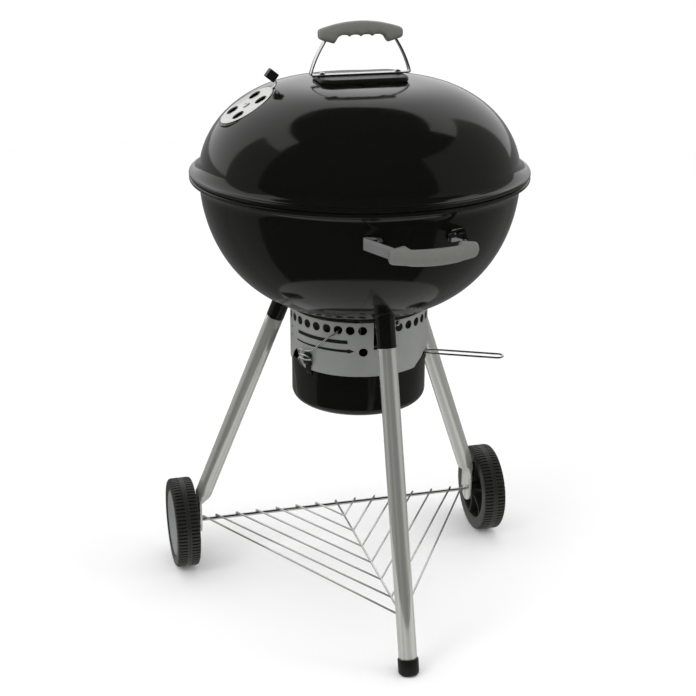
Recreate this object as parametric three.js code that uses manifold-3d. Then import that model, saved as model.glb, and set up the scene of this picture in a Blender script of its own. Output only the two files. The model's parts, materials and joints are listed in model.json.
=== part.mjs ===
// Kettle charcoal grill in millimetres, +Z up, front towards -Y, wheels at the back.
// The kettle axis is built on X = Y = 0 with the ground at Z = 0; the finished group is then
// shifted so that its origin is the middle of the underside of its bounding box.
import * as THREE from 'three';
import { mergeVertices } from 'three/addons/utils/BufferGeometryUtils.js';
import Module from 'manifold-3d';

const wasm = await Module();
wasm.setup();

// ---------------------------------------------------------------- driving dimensions
const GAP = 0.3;
const SHEET = 2;

// kettle shells
const RIM_Z = 692;
const WALL_R = 239;
const FLANGE_R = 253.5;
const FLANGE_RISE = 24;
const BEAD = 4;
const BOWL_DEPTH = 212.5;
const BOWL_SIDE_POWER = 2.6;
const BOWL_BASE_POWER = 2.03;
const LID_RISE = 143;
const LID_SIDE_POWER = 2.73;
const LID_TOP_POWER = 1.93;
const LID_CROWN_R = 150;
const LID_CROWN_POWER = 4.5;
const SHELL_TURNS = 32;
const SHELL_STEPS = 9;

// legs: axis points at the socket and at the lower end
const TUBE_R = 13.7;
const TUBE_BORE_R = 12.5;
const SOCKET_Z = 484;
const SOCKET_R = 14;
const SOCKET_STUB_R = 12;
const SOCKET_STUB = 28;
const FRONT_LEG_TOP = new THREE.Vector3(0, -147.6, SOCKET_Z);
const FRONT_LEG_FOOT = new THREE.Vector3(0, -286.6, 0);
const REAR_LEG_TOP = new THREE.Vector3(102.4, 70.7, SOCKET_Z);
const REAR_LEG_AIM = new THREE.Vector3(250.5, 138.6, 74.4);
const FRONT_SOCKET_DROP = 20;
const REAR_SOCKET_DROP = 40;
const FOOT_CAP_R = 15.6;
const FOOT_CAP_HEIGHT = 15;
const REAR_LEG_BEND_Z = 130;
const TONGUE_X = 238.4;
const TONGUE_THICK = 5.4;
const TONGUE_WIDE = 42;
const TONGUE_TOP_Z = 112;
const TONGUE_BOTTOM_Z = 55;

// wheels and axle
const WHEEL_R = 74.4;
const WHEEL_IN_X = 246.7;
const WHEEL_OUT_X = 285.3;
const AXLE_R = 3;
const AXLE_Y = 138.6;
const AXLE_Z = 74.4;
const AXLE_HALF = 279;
const HUB_CAP_R = 55.5;
const HUB_CAP_SEAT_X = 281;

// wire shelf
const SHELF_WIRE_R = 1.6;
const SHELF_PITCH = 34.8;
const SHELF_PAIRS = 6;
const SHELF_STEP = 54.9;
const SHELF_NOSE_Z = 74.5;
const SHELF_SIDE_X = 231;

// ash ring, pot and sweeper
const RING_R = 106.1;
const RING_WALL = 1.2;
const RING_BOTTOM_Z = 403;
const RING_TOP_Z = 487.5;
const RING_HOLE_Z = 475.5;
const RING_HOLE_R = 6.7;
const RING_HOLES = 34;
const RING_HOLE_START = -71;
const RING_HOLE_SPAN = 328.5;
const POT_R = 104;
const POT_TOP_Z = 408;
const POT_BOTTOM_Z = 335;
const POT_CORNER = 14;
const LEVER_AZIMUTH = -31;
const LEVER_REACH = 228.5;
const LEVER_WIRE_R = 1.6;
const LEVER_NECK_HALF = 2.9;
const LEVER_HALF_WIDTH = 8.5;
const LEVER_NECK_R = 104;
const LEVER_LOOP_R = 124;
const BLADE_COUNT = 3;

// handles
const LID_HANDLE_Z = 835;
const GRIP_LENGTH = 124;
const GRIP_DEPTH = 22;
const GRIP_FOOT = 48;
const GRIP_RISE = 77;
const STRAP_WIDE = 13;
const STRAP_THICK = 2.2;
const SIDE_STRAP_WIDE = 18;
const SIDE_GRIP_TWIST = 28;
const STRAP_BASE_HALF = 75;
const STRAP_TOP_HALF = 54;
const BRACKET_INNER_X = 47;
const SHIELD_HALF_LENGTH = 66;
const SHIELD_HALF_WIDTH = 42;
const SHIELD_CORNER = 20;
const SHIELD_HEIGHT = 6.8;
const SHIELD_SHEET = 1.5;
const SIDE_HANDLE_AZIMUTH = -86.5;
const SIDE_HANDLE_Z = 648.5;
const BOLT_OFFSET = 57;
const BOLT_R = 2.5;

// lid damper
const DAMPER_AZIMUTH = 181;
const DAMPER_REACH = 171.8;
const DAMPER_SEAT_R = 46.5;
const DAMPER_R = 44;
const DAMPER_HOLE_R = 9.5;
const DAMPER_HOLE_PITCH_R = 27.5;

// grates
const COOKING_GRATE_R = 228;
const COOKING_GRATE_Z = 667;
const CHARCOAL_GRATE_R = 170;
const CHARCOAL_GRATE_Z = 540;
const GRATE_TAB_AZIMUTHS = [ 60, 180, 300 ];

// ---------------------------------------------------------------- materials
const finish = ( color, roughness, metalness ) =>
	new THREE.MeshStandardMaterial( { color, roughness, metalness } );
const enamel = finish( 0x11130e, 0.12, 0.1 );
const plastic = finish( 0x7d7e78, 0.5, 0 );
const blackPlastic = finish( 0x161616, 0.55, 0 );
const chrome = finish( 0xd2d4d4, 0.15, 1 );
const aluminium = finish( 0xb4b6b4, 0.35, 0.9 );
const satinSteel = finish( 0x91938e, 0.4, 0.6 );
const tyre = finish( 0x181818, 0.75, 0 );
const capGrey = finish( 0xa5aaa7, 0.5, 0 );

// ---------------------------------------------------------------- solids
// A closed solid from any closed geometry, turned so that its faces point out.
function solid( geometry ) {

	const bare = new THREE.BufferGeometry();
	bare.setAttribute( 'position', geometry.attributes.position );
	if ( geometry.index ) bare.setIndex( geometry.index );
	const merged = mergeVertices( bare, 1e-4 );
	const corners = merged.index.array;
	const points = merged.attributes.position;
	const triangles = [];
	let volume = 0;
	for ( let i = 0; i < corners.length; i += 3 ) {

		const [ a, b, c ] = corners.slice( i, i + 3 );
		if ( a === b || b === c || c === a ) continue;
		triangles.push( a, b, c );
		const [ p, q, r ] = [ a, b, c ].map( ( k ) => new THREE.Vector3().fromBufferAttribute( points, k ) );
		volume += p.dot( q.cross( r ) );

	}

	if ( volume < 0 ) triangles.reverse();
	return new wasm.Manifold( new wasm.Mesh( {
		numProp: 3,
		vertProperties: new Float32Array( points.array ),
		triVerts: new Uint32Array( triangles )
	} ) );

}

function part( name, body, material ) {

	const mesh = body.getMesh();
	const geometry = new THREE.BufferGeometry();
	geometry.setAttribute( 'position', new THREE.BufferAttribute( new Float32Array( mesh.vertProperties ), 3 ) );
	geometry.setIndex( new THREE.BufferAttribute( new Uint32Array( mesh.triVerts ), 1 ) );
	const result = new THREE.Mesh( geometry, material );
	result.name = name;
	return result;

}

const radians = THREE.MathUtils.degToRad;

// Unit vector in plan at an azimuth counted from +X towards +Y.
const outward = ( azimuth ) => new THREE.Vector3( Math.cos( radians( azimuth ) ), Math.sin( radians( azimuth ) ), 0 );

const union = ( bodies ) => bodies.reduce( ( whole, next ) => whole.add( next ) );

// Solid of revolution about the vertical axis from ( radius, z ) points.
function turned( profile, turns = SHELL_TURNS ) {

	const geometry = new THREE.LatheGeometry( profile.map( ( [ r, z ] ) => new THREE.Vector2( r, z ) ), turns );
	geometry.rotateX( Math.PI / 2 );
	return solid( geometry );

}

// Turned solid whose profile heights run along the line from one point to another.
function turnedAlong( from, to, profile, turns = 16 ) {

	const geometry = new THREE.LatheGeometry( profile.map( ( [ r, h ] ) => new THREE.Vector2( r, h ) ), turns );
	const along = to.clone().sub( from ).normalize();
	geometry.applyQuaternion( new THREE.Quaternion().setFromUnitVectors( new THREE.Vector3( 0, 1, 0 ), along ) );
	geometry.translate( from.x, from.y, from.z );
	return solid( geometry );

}

// Round bar between two points.
function bar( from, to, radius, sides = 8 ) {

	const length = from.distanceTo( to );
	return turnedAlong( from, to, [ [ 0, 0 ], [ radius, 0 ], [ radius, length ], [ 0, length ] ], sides );

}

const boxSolid = ( x, y, z, at ) => solid( new THREE.BoxGeometry( x, y, z ).translate( at.x, at.y, at.z ) );

// Wire bent along a smooth open path.
function wire( points, radius, sides = 6, steps = 24 ) {

	const section = new THREE.Shape();
	section.absarc( 0, 0, radius, 0, Math.PI * 2 );
	const path = new THREE.CatmullRomCurve3( points, false, 'catmullrom', 0.2 );
	return solid( new THREE.ExtrudeGeometry( section, {
		steps,
		bevelEnabled: false,
		curveSegments: Math.ceil( sides / 2 ),
		extrudePath: path
	} ) );

}

// Round wire bent into a flat horizontal ring.
function hoop( radius, wireRadius, z, turns = SHELL_TURNS ) {

	return solid( new THREE.TorusGeometry( radius, wireRadius, 4, turns ).translate( 0, 0, z ) );

}

// Closed outline of a strip of constant thickness along a polyline.
function stripShape( points, thickness ) {

	const normals = points.slice( 1 ).map( ( point, i ) => {

		const step = point.clone().sub( points[ i ] ).normalize();
		return new THREE.Vector2( - step.y, step.x );

	} );
	const offset = ( sign ) => points.map( ( point, i ) => {

		const before = normals[ Math.max( i - 1, 0 ) ];
		const after = normals[ Math.min( i, normals.length - 1 ) ];
		const mitre = before.clone().add( after ).normalize();
		return point.clone().addScaledVector( mitre, sign * thickness / 2 / mitre.dot( after ) );

	} );
	return new THREE.Shape( [ ...offset( 1 ), ...offset( - 1 ).reverse() ] );

}

// Extrudes an XZ outline by a depth centred on Y = 0.
function slab( shape, depth ) {

	const geometry = new THREE.ExtrudeGeometry( shape, { depth, bevelEnabled: false, curveSegments: 6 } );
	geometry.translate( 0, 0, - depth / 2 );
	geometry.rotateX( Math.PI / 2 );
	return solid( geometry );

}

// Plan sector between two azimuths and two radii, extruded between two heights.
function sector( azimuthA, azimuthB, innerR, outerR, lowZ, highZ ) {

	const shape = new THREE.Shape();
	shape.absarc( 0, 0, outerR, radians( azimuthA ), radians( azimuthB ) );
	shape.absarc( 0, 0, innerR, radians( azimuthB ), radians( azimuthA ), true );
	const geometry = new THREE.ExtrudeGeometry( shape, {
		depth: highZ - lowZ,
		bevelEnabled: false,
		curveSegments: 5
	} );
	geometry.translate( 0, 0, lowZ );
	return solid( geometry );

}

// ---------------------------------------------------------------- kettle shells
// Height of a shell's outer face above or below the rim at a plan radius.
function shellHeight( radius, rise, sidePower, polePower ) {

	const sine = ( radius / WALL_R ) ** ( sidePower / 2 );
	return rise * Math.sqrt( 1 - sine * sine ) ** ( 2 / polePower );

}

const bowlHeight = ( radius ) => shellHeight( radius, BOWL_DEPTH, BOWL_SIDE_POWER, BOWL_BASE_POWER );

// The lid follows its side curve down from the crown's edge; the crown inside it is flatter.
function lidHeight( radius ) {

	const side = ( r ) => shellHeight( r, LID_RISE, LID_SIDE_POWER, LID_TOP_POWER );
	if ( radius >= LID_CROWN_R ) return side( radius );
	const edgeSlope = side( LID_CROWN_R ) - side( LID_CROWN_R + 1 );
	const crownRise = edgeSlope * LID_CROWN_R / LID_CROWN_POWER;
	return side( LID_CROWN_R ) + crownRise * ( 1 - ( radius / LID_CROWN_R ) ** LID_CROWN_POWER );

}

// Wall curve of a shell between its pole and the start of its flange, as [ radius, height from rim ].
function shellCurve( rise, sidePower, polePower, heightAt, offset = 0 ) {

	const points = [];
	const shrink = ( WALL_R + offset ) / WALL_R;
	const endAngle = Math.acos( ( FLANGE_RISE / rise ) ** ( polePower / 2 ) );
	for ( let i = 0; i <= SHELL_STEPS; i ++ ) {

		const radius = WALL_R * Math.sin( endAngle * i / SHELL_STEPS ) ** ( 2 / sidePower );
		points.push( [ radius * shrink, heightAt( radius ) + offset ] );

	}

	return points;

}

const bowlCurve = ( offset = 0 ) => shellCurve( BOWL_DEPTH, BOWL_SIDE_POWER, BOWL_BASE_POWER, bowlHeight, offset );

const lidCurve = ( offset = 0 ) => shellCurve( LID_RISE, LID_SIDE_POWER, LID_TOP_POWER, lidHeight, offset );

// Shell with an outward flange; side is 1 for the lid and -1 for the bowl.
function shell( side, curve ) {

	const outer = curve();
	const inner = curve( - SHEET );
	const wallOut = outer.at( - 1 )[ 0 ];
	const wallIn = inner.at( - 1 )[ 0 ];
	const profile = [
		...outer,
		[ wallOut + 1.5, FLANGE_RISE * 0.72 ],
		[ FLANGE_R - 5, FLANGE_RISE * 0.36 ],
		[ FLANGE_R, BEAD ],
		[ FLANGE_R, GAP / 2 ],
		[ FLANGE_R - 6, GAP / 2 ],
		[ FLANGE_R - 7.5, FLANGE_RISE * 0.24 ],
		[ wallIn + 1.2, FLANGE_RISE * 0.66 ],
		...inner.reverse()
	].map( ( [ r, h ] ) => [ r, RIM_Z + side * h ] );
	return turned( profile );

}

// Filled shape of a shell, grown or shrunk by an offset, for trimming the pieces that meet it.
function filledShell( side, curve, offset ) {

	const profile = curve( offset ).map( ( [ r, h ] ) => [ r, RIM_Z + side * h ] );
	return turned( [ ...profile, [ WALL_R + offset, RIM_Z ], [ 0, RIM_Z ] ] );

}

const filledBowl = ( offset ) => filledShell( - 1, bowlCurve, offset );

const filledLid = ( offset ) => filledShell( 1, lidCurve, offset );

// Radius of the bowl's outer face at a height.
function bowlRadius( z ) {

	const cosine = ( ( RIM_Z - z ) / BOWL_DEPTH ) ** ( BOWL_BASE_POWER / 2 );
	return WALL_R * Math.sqrt( 1 - cosine * cosine ) ** ( 2 / BOWL_SIDE_POWER );

}

// ---------------------------------------------------------------- damper frame on the lid
const damperGroup = new THREE.Group();
const damperOut = outward( DAMPER_AZIMUTH );
const lidSlope = ( lidHeight( DAMPER_REACH + 1 ) - lidHeight( DAMPER_REACH - 1 ) ) / 2;
const damperNormal = damperOut.clone().multiplyScalar( - lidSlope ).add( new THREE.Vector3( 0, 0, 1 ) ).normalize();
const damperCentre = damperOut.clone().multiplyScalar( DAMPER_REACH );
damperCentre.z = RIM_Z + lidHeight( DAMPER_REACH );
const damperAcross = new THREE.Vector3( 0, 0, 1 ).cross( damperOut ).normalize();
const damperUphill = damperNormal.clone().cross( damperAcross ).normalize();
const damperBasis = new THREE.Matrix4().makeBasis( damperUphill, damperAcross.clone().negate(), damperNormal );
damperBasis.setPosition( damperCentre );
damperGroup.applyMatrix4( damperBasis );

function damperHoleCentres() {

	return [ 45, 135, 225, 315 ].map( ( angle ) => outward( angle ).multiplyScalar( DAMPER_HOLE_PITCH_R ) );

}

// The disc lies in a flat seat pressed into the lid's crown.
const DAMPER_LIFT = - 4.2;
const DAMPER_THICK = 1.2;
const TAB_SIZE = [ 14, 15, 15 ];
const TAB_Z = 11.5;

function makeDamper() {

	const bottom = DAMPER_LIFT;
	const top = bottom + DAMPER_THICK;
	let body = turned( [ [ 0, bottom ], [ DAMPER_R, bottom ], [ DAMPER_R, top ], [ 0, top ] ], 32 );
	const ear = boxSolid( 16, 10, DAMPER_THICK, new THREE.Vector3( DAMPER_R + 3, 0, ( bottom + top ) / 2 ) );
	const stemHeight = TAB_Z - TAB_SIZE[ 2 ] / 2 - GAP - bottom;
	const stem = boxSolid( 2, 7, stemHeight, new THREE.Vector3( DAMPER_R + 10, 0, bottom + stemHeight / 2 ) );
	body = body.add( ear ).add( stem );
	for ( const centre of damperHoleCentres() ) {

		const low = centre.clone().setZ( bottom - 5 );
		const high = centre.clone().setZ( top + 5 );
		body = body.subtract( bar( low, high, DAMPER_HOLE_R, 16 ) );

	}

	const pin = bar( new THREE.Vector3( 0, 0, bottom - 5 ), new THREE.Vector3( 0, 0, top + 5 ), 3.4, 10 );
	return body.subtract( pin );

}

function makeDamperRivet() {

	const top = DAMPER_LIFT + DAMPER_THICK + GAP;
	return turned( [ [ 0, - 12 ], [ 3, - 12 ], [ 3, top ], [ 6, top ], [ 4.5, top + 1.6 ], [ 0, top + 2.2 ] ], 12 );

}

// ---------------------------------------------------------------- lid and its handle
function makeLid() {

	const seatTop = DAMPER_LIFT - GAP;
	const seat = turned( [ [ 0, seatTop ], [ DAMPER_SEAT_R, seatTop ], [ DAMPER_SEAT_R, 20 ], [ 0, 20 ] ] );
	const seatR = DAMPER_SEAT_R + 1.5;
	const floor = turned( [ [ 0, seatTop - SHEET ], [ seatR, seatTop - SHEET ], [ seatR, seatTop ], [ 0, seatTop ] ] );
	let body = shell( 1, lidCurve );
	body = body.subtract( seat.transform( damperBasis.elements ) );
	body = body.add( floor.transform( damperBasis.elements ) );
	const cutters = damperHoleCentres().map( ( centre ) =>
		bar( centre.clone().setZ( - 14 ), centre.clone().setZ( 14 ), DAMPER_HOLE_R, 12 ) );
	cutters.push( bar( new THREE.Vector3( 0, 0, - 14 ), new THREE.Vector3( 0, 0, 14 ), 3.4, 10 ) );
	for ( const cutter of cutters ) body = body.subtract( cutter.transform( damperBasis.elements ) );
	for ( const side of [ - 1, 1 ] ) {

		const low = new THREE.Vector3( side * BOLT_OFFSET, 0, LID_HANDLE_Z - 20 );
		body = body.subtract( bar( low, low.clone().setZ( LID_HANDLE_Z ), BOLT_R + 0.4, 10 ) );

	}

	return body;

}

// Strap of a handle: base points from left to right, then the two legs up to the grip.
function makeStrap( basePoints, wide, holeLow ) {

	const leg = ( side ) => new THREE.Vector2( side * STRAP_TOP_HALF, GRIP_FOOT - GAP - STRAP_THICK / 2 );
	const shape = stripShape( [ leg( - 1 ), ...basePoints, leg( 1 ) ], STRAP_THICK );
	let body = slab( shape, wide );
	for ( const side of [ - 1, 1 ] ) {

		const low = new THREE.Vector3( side * BOLT_OFFSET, 0, holeLow );
		body = body.subtract( bar( low, low.clone().setZ( 14 ), BOLT_R + 0.4, 10 ) );

	}

	return body;

}

// Moulded grip: arched outside, four finger hollows inside, thick drooping ends.
function makeGrip() {

	const half = GRIP_LENGTH / 2;
	const fingers = 4;
	const fingerRun = 2 * ( STRAP_TOP_HALF - 10 );
	const pitch = fingerRun / fingers;
	const shape = new THREE.Shape();
	shape.moveTo( - half, GRIP_FOOT );
	shape.lineTo( - half, GRIP_FOOT + 15 );
	shape.quadraticCurveTo( - half, GRIP_FOOT + 20, - half + 8, GRIP_FOOT + 22 );
	shape.quadraticCurveTo( 0, 2 * GRIP_RISE - GRIP_FOOT - 22, half - 8, GRIP_FOOT + 22 );
	shape.quadraticCurveTo( half, GRIP_FOOT + 20, half, GRIP_FOOT + 15 );
	shape.lineTo( half, GRIP_FOOT );
	shape.lineTo( fingerRun / 2 + 2, GRIP_FOOT );
	shape.lineTo( fingerRun / 2, GRIP_FOOT + 6 );
	for ( let i = 0; i < fingers; i ++ ) {

		const end = fingerRun / 2 - ( i + 1 ) * pitch;
		shape.quadraticCurveTo( end + pitch / 2, GRIP_FOOT + 13, end, GRIP_FOOT + 6 );

	}

	shape.lineTo( - fingerRun / 2 - 2, GRIP_FOOT );
	shape.closePath();
	return slab( shape, GRIP_DEPTH );

}

// Handle bolt along local Z: domed head above the strap, shank down through the shell.
function makeHandleBolt( at, headZ, shankZ ) {

	const profile = [
		[ 0, shankZ ],
		[ BOLT_R, shankZ ],
		[ BOLT_R, headZ ],
		[ 4.6, headZ ],
		[ 3.6, headZ + 2.4 ],
		[ 0, headZ + 3.2 ]
	];
	return turned( profile, 12 ).translate( [ at, 0, 0 ] );

}

// Tray turned upside down under the lid handle, whose rim hangs just clear of the lid.
function makeHeatShield() {

	const outline = ( inset ) => {

		const round = SHIELD_CORNER - inset;
		const x = SHIELD_HALF_LENGTH - SHIELD_CORNER;
		const y = SHIELD_HALF_WIDTH - SHIELD_CORNER;
		const shape = new THREE.Shape();
		shape.absarc( x, y, round, 0, Math.PI / 2 );
		shape.absarc( - x, y, round, Math.PI / 2, Math.PI );
		shape.absarc( - x, - y, round, Math.PI, Math.PI * 1.5 );
		shape.absarc( x, - y, round, Math.PI * 1.5, Math.PI * 2 );
		return shape;

	};

	const plate = ( inset, lowZ, highZ ) => {

		const options = { depth: highZ - lowZ, bevelEnabled: false, curveSegments: 4 };
		return solid( new THREE.ExtrudeGeometry( outline( inset ), options ).translate( 0, 0, lowZ ) );

	};

	let body = plate( 0, - SHIELD_HEIGHT, 0 ).subtract( plate( SHIELD_SHEET, - SHIELD_HEIGHT - 1, - SHIELD_SHEET ) );
	for ( const side of [ - 1, 1 ] ) {

		const low = new THREE.Vector3( side * BOLT_OFFSET, 0, - 5 );
		body = body.subtract( bar( low, low.clone().setZ( 5 ), BOLT_R + 0.4, 10 ) );

	}

	return body;

}

// Hook inside the lid that hangs it on the bowl's rim.
function makeLidHook() {

	const wallR = WALL_R - SHEET - 4;
	const stem = bar( new THREE.Vector3( 0, wallR, 732 ), new THREE.Vector3( 0, wallR - 14, 722 ), 2, 6 );
	const drop = bar( new THREE.Vector3( 0, wallR - 13.5, 724 ), new THREE.Vector3( 0, wallR - 13.5, 700 ), 2 );
	return stem.add( drop ).intersect( filledLid( - SHEET - 3 * GAP ) );

}

// ---------------------------------------------------------------- bowl
const VENT_INNER_R = 34;
const VENT_OUTER_R = 88;
const VENT_HALF_ANGLE = 17;
const SHAFT_R = 4;

function makeBowl() {

	let body = shell( - 1, bowlCurve );
	for ( let i = 0; i < BLADE_COUNT; i ++ ) {

		const azimuth = 30 + i * 360 / BLADE_COUNT;
		const low = azimuth - VENT_HALF_ANGLE;
		const high = azimuth + VENT_HALF_ANGLE;
		body = body.subtract( sector( low, high, VENT_INNER_R, VENT_OUTER_R, 470, 505 ) );

	}

	const pole = new THREE.Vector3( 0, 0, 470 );
	body = body.subtract( bar( pole, pole.clone().setZ( 490 ), SHAFT_R + 0.5, 12 ) );
	for ( const side of [ - 1, 1 ] ) {

		const outside = sidePoint( side * BOLT_OFFSET, 0, 12 );
		const inside = sidePoint( side * BOLT_OFFSET, 0, - 30 );
		body = body.subtract( bar( inside, outside, BOLT_R + 0.4, 10 ) );

	}

	return body;

}

// ---------------------------------------------------------------- side handle frame
const sideOut = outward( SIDE_HANDLE_AZIMUTH );
const sideAlong = outward( SIDE_HANDLE_AZIMUTH + 90 );
const sideBase = sideOut.clone().multiplyScalar( bowlRadius( SIDE_HANDLE_Z + SIDE_STRAP_WIDE / 2 ) + GAP );
sideBase.z = SIDE_HANDLE_Z;
const sideUp = sideOut.clone().cross( sideAlong );
const sideBasis = new THREE.Matrix4().makeBasis( sideAlong, sideUp, sideOut );
sideBasis.setPosition( sideBase );

// World position of a point given along, up and out from the middle of the side handle's foot.
function sidePoint( along, up, out ) {

	return new THREE.Vector3( along, up, out ).applyMatrix4( sideBasis );

}

// Side handle bracket: a foot on the bowl under the bolt and a leg out to the grip.
function makeSideBracket( side ) {

	const footR = Math.hypot( sideBase.x, sideBase.y ) + STRAP_THICK / 2;
	const halfAngle = Math.asin( STRAP_BASE_HALF / footR );
	const points = [];
	const steps = 8;
	for ( let i = 0; i <= steps; i ++ ) {

		const angle = halfAngle * ( 2 * i / steps - 1 );
		const drop = footR * ( Math.cos( angle ) - 1 );
		points.push( new THREE.Vector2( footR * Math.sin( angle ), drop + STRAP_THICK / 2 ) );

	}

	const keep = boxSolid( 60, 40, 120, new THREE.Vector3( side * ( BRACKET_INNER_X + 30 ), 0, 20 ) );
	return makeStrap( points, SIDE_STRAP_WIDE, - 30 ).intersect( keep );

}

// ---------------------------------------------------------------- legs
// Socket welded under the bowl: as wide as the tube, with a stub that plugs into the tube.
function makeSocket( top, foot, drop ) {

	const down = foot.clone().sub( top ).normalize();
	const low = top.clone().addScaledVector( down, drop + SOCKET_STUB );
	const high = top.clone().addScaledVector( down, - 34 );
	const span = low.distanceTo( high );
	const sleeve = turnedAlong( low, high, [
		[ SOCKET_STUB_R - 2, 0 ],
		[ SOCKET_STUB_R, 0 ],
		[ SOCKET_STUB_R, SOCKET_STUB ],
		[ SOCKET_R, SOCKET_STUB ],
		[ SOCKET_R, span ],
		[ SOCKET_STUB_R - 2, span ],
		[ SOCKET_STUB_R - 2, 0 ]
	], 16 );
	return sleeve.subtract( filledBowl( GAP ) );

}

// Straight tube, open at its top, from a lower point up to its socket's shoulder.
function makeTube( top, foot, boreFrom, drop ) {

	const up = top.clone().sub( foot ).normalize();
	const high = top.clone().addScaledVector( up, - drop - GAP );
	const bore = bar( foot.clone().addScaledVector( up, boreFrom ), high.clone().addScaledVector( up, 2 ), TUBE_BORE_R, 16 );
	return bar( foot, high, TUBE_R, 16 ).subtract( bore );

}

function makeFrontLeg() {

	const up = FRONT_LEG_TOP.clone().sub( FRONT_LEG_FOOT ).normalize();
	return makeTube( FRONT_LEG_TOP, FRONT_LEG_FOOT.clone().addScaledVector( up, 7 ), - 2, FRONT_SOCKET_DROP );

}

function makeFootCap() {

	const up = FRONT_LEG_TOP.clone().sub( FRONT_LEG_FOOT ).normalize();
	const low = FRONT_LEG_FOOT.clone().addScaledVector( up, - 10 );
	const cap = turnedAlong( low, FRONT_LEG_TOP, [
		[ 0, 0 ],
		[ FOOT_CAP_R - 3, 8 ],
		[ FOOT_CAP_R - 2.4, 10.4 ],
		[ FOOT_CAP_R, 14 ],
		[ FOOT_CAP_R, 8 + FOOT_CAP_HEIGHT ],
		[ FOOT_CAP_R - 1, 10 + FOOT_CAP_HEIGHT ],
		[ TUBE_R + GAP, 10 + FOOT_CAP_HEIGHT ],
		[ TUBE_R + GAP, 17 - GAP ],
		[ 0, 17 - GAP ]
	], 20 );
	const ground = boxSolid( 80, 80, 40, new THREE.Vector3( 0, FRONT_LEG_FOOT.y, - 20 ) );
	return cap.subtract( ground );

}

// Rear leg: tube whose end is pressed into an upright tongue that the axle passes through.
function makeRearLeg( side ) {

	const top = REAR_LEG_TOP.clone();
	const aim = REAR_LEG_AIM.clone();
	const bendT = ( SOCKET_Z - REAR_LEG_BEND_Z ) / ( SOCKET_Z - aim.z );
	const bend = top.clone().lerp( aim, bendT );
	const along = aim.clone().sub( top ).normalize();
	const sides = 16;
	const across = new THREE.Vector3( 0, 1, 0 ).addScaledVector( along, - along.y ).normalize();
	const third = along.clone().cross( across );
	const rings = [];
	const ring = ( centre, u, v, ru, rv ) => {

		const points = [];
		for ( let i = 0; i < sides; i ++ ) {

			const angle = 2 * Math.PI * i / sides;
			points.push( centre.clone()
				.addScaledVector( u, ru * Math.cos( angle ) )
				.addScaledVector( v, rv * Math.sin( angle ) ) );

		}

		rings.push( points );

	};

	const upright = new THREE.Vector3( 0, 0, - 1 );
	const flatAcross = new THREE.Vector3( 0, 1, 0 );
	const flatThird = upright.clone().cross( flatAcross );
	ring( bend.clone().addScaledVector( along, - 8 ), across, third, TUBE_R, TUBE_R );
	ring( bend, across, third, TUBE_R, TUBE_R );
	const tongue = ( z, wide ) => ring(
		new THREE.Vector3( TONGUE_X, AXLE_Y, z ), flatAcross, flatThird, wide / 2, TONGUE_THICK / 2 );
	tongue( TONGUE_TOP_Z, TONGUE_WIDE );
	tongue( AXLE_Z, TONGUE_WIDE );
	tongue( TONGUE_BOTTOM_Z + 6, TONGUE_WIDE * 0.8 );
	tongue( TONGUE_BOTTOM_Z, TONGUE_WIDE * 0.45 );
	const end = lofted( rings );
	const tube = makeTube( top, bend.clone().addScaledVector( along, - 2 ), 16, REAR_SOCKET_DROP );
	const hole = bar(
		new THREE.Vector3( TONGUE_X - 20, AXLE_Y, AXLE_Z ),
		new THREE.Vector3( TONGUE_X + 20, AXLE_Y, AXLE_Z ),
		AXLE_R + GAP,
		12
	);
	const body = tube.add( end ).subtract( hole );
	return side < 0 ? body.mirror( [ 1, 0, 0 ] ) : body;

}

// Closed solid through a run of rings with equal point counts.
function lofted( rings ) {

	const count = rings[ 0 ].length;
	const positions = rings.flat().flatMap( ( p ) => [ p.x, p.y, p.z ] );
	const index = [];
	for ( let k = 0; k + 1 < rings.length; k ++ ) {

		for ( let i = 0; i < count; i ++ ) {

			const a = k * count + i;
			const b = k * count + ( i + 1 ) % count;
			index.push( a, b, b + count, a, b + count, a + count );

		}

	}

	const last = ( rings.length - 1 ) * count;
	for ( let i = 1; i + 1 < count; i ++ ) {

		index.push( 0, i + 1, i );
		index.push( last, last + i, last + i + 1 );

	}

	const geometry = new THREE.BufferGeometry();
	geometry.setAttribute( 'position', new THREE.Float32BufferAttribute( positions, 3 ) );
	geometry.setIndex( index );
	return solid( geometry );

}

// ---------------------------------------------------------------- wheels
// Profiles are ( radius, x ) for the wheel on +X; the other one is mirrored.
function turnedOnAxle( profile, turns ) {

	const geometry = new THREE.LatheGeometry( profile.map( ( [ r, x ] ) => new THREE.Vector2( r, x ) ), turns );
	geometry.rotateZ( - Math.PI / 2 );
	geometry.translate( 0, AXLE_Y, AXLE_Z );
	return solid( geometry );

}

function makeWheel( side ) {

	const hubIn = WHEEL_IN_X - 3;
	const body = turnedOnAxle( [
		[ AXLE_R + GAP, hubIn ],
		[ 13, hubIn ],
		[ 14, HUB_CAP_SEAT_X - 4 ],
		[ 54, HUB_CAP_SEAT_X - 4 ],
		[ 58, WHEEL_IN_X + 2 ],
		[ 68, WHEEL_IN_X ],
		[ WHEEL_R, WHEEL_IN_X + 7 ],
		[ WHEEL_R, WHEEL_OUT_X - 7 ],
		[ 68, WHEEL_OUT_X ],
		[ HUB_CAP_R + 1, WHEEL_OUT_X - 1 ],
		[ HUB_CAP_R + 1, HUB_CAP_SEAT_X ],
		[ AXLE_R + GAP, HUB_CAP_SEAT_X ],
		[ AXLE_R + GAP, hubIn ]
	], 30 );
	return side < 0 ? body.mirror( [ 1, 0, 0 ] ) : body;

}

function makeHubCap( side ) {

	const seat = HUB_CAP_SEAT_X + GAP;
	const body = turnedOnAxle( [
		[ 0, seat ],
		[ HUB_CAP_R, seat ],
		[ HUB_CAP_R, seat + 1.5 ],
		[ HUB_CAP_R - 3, seat + 2.8 ],
		[ 0, seat + 3.4 ]
	], 30 );
	return side < 0 ? body.mirror( [ 1, 0, 0 ] ) : body;

}

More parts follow.
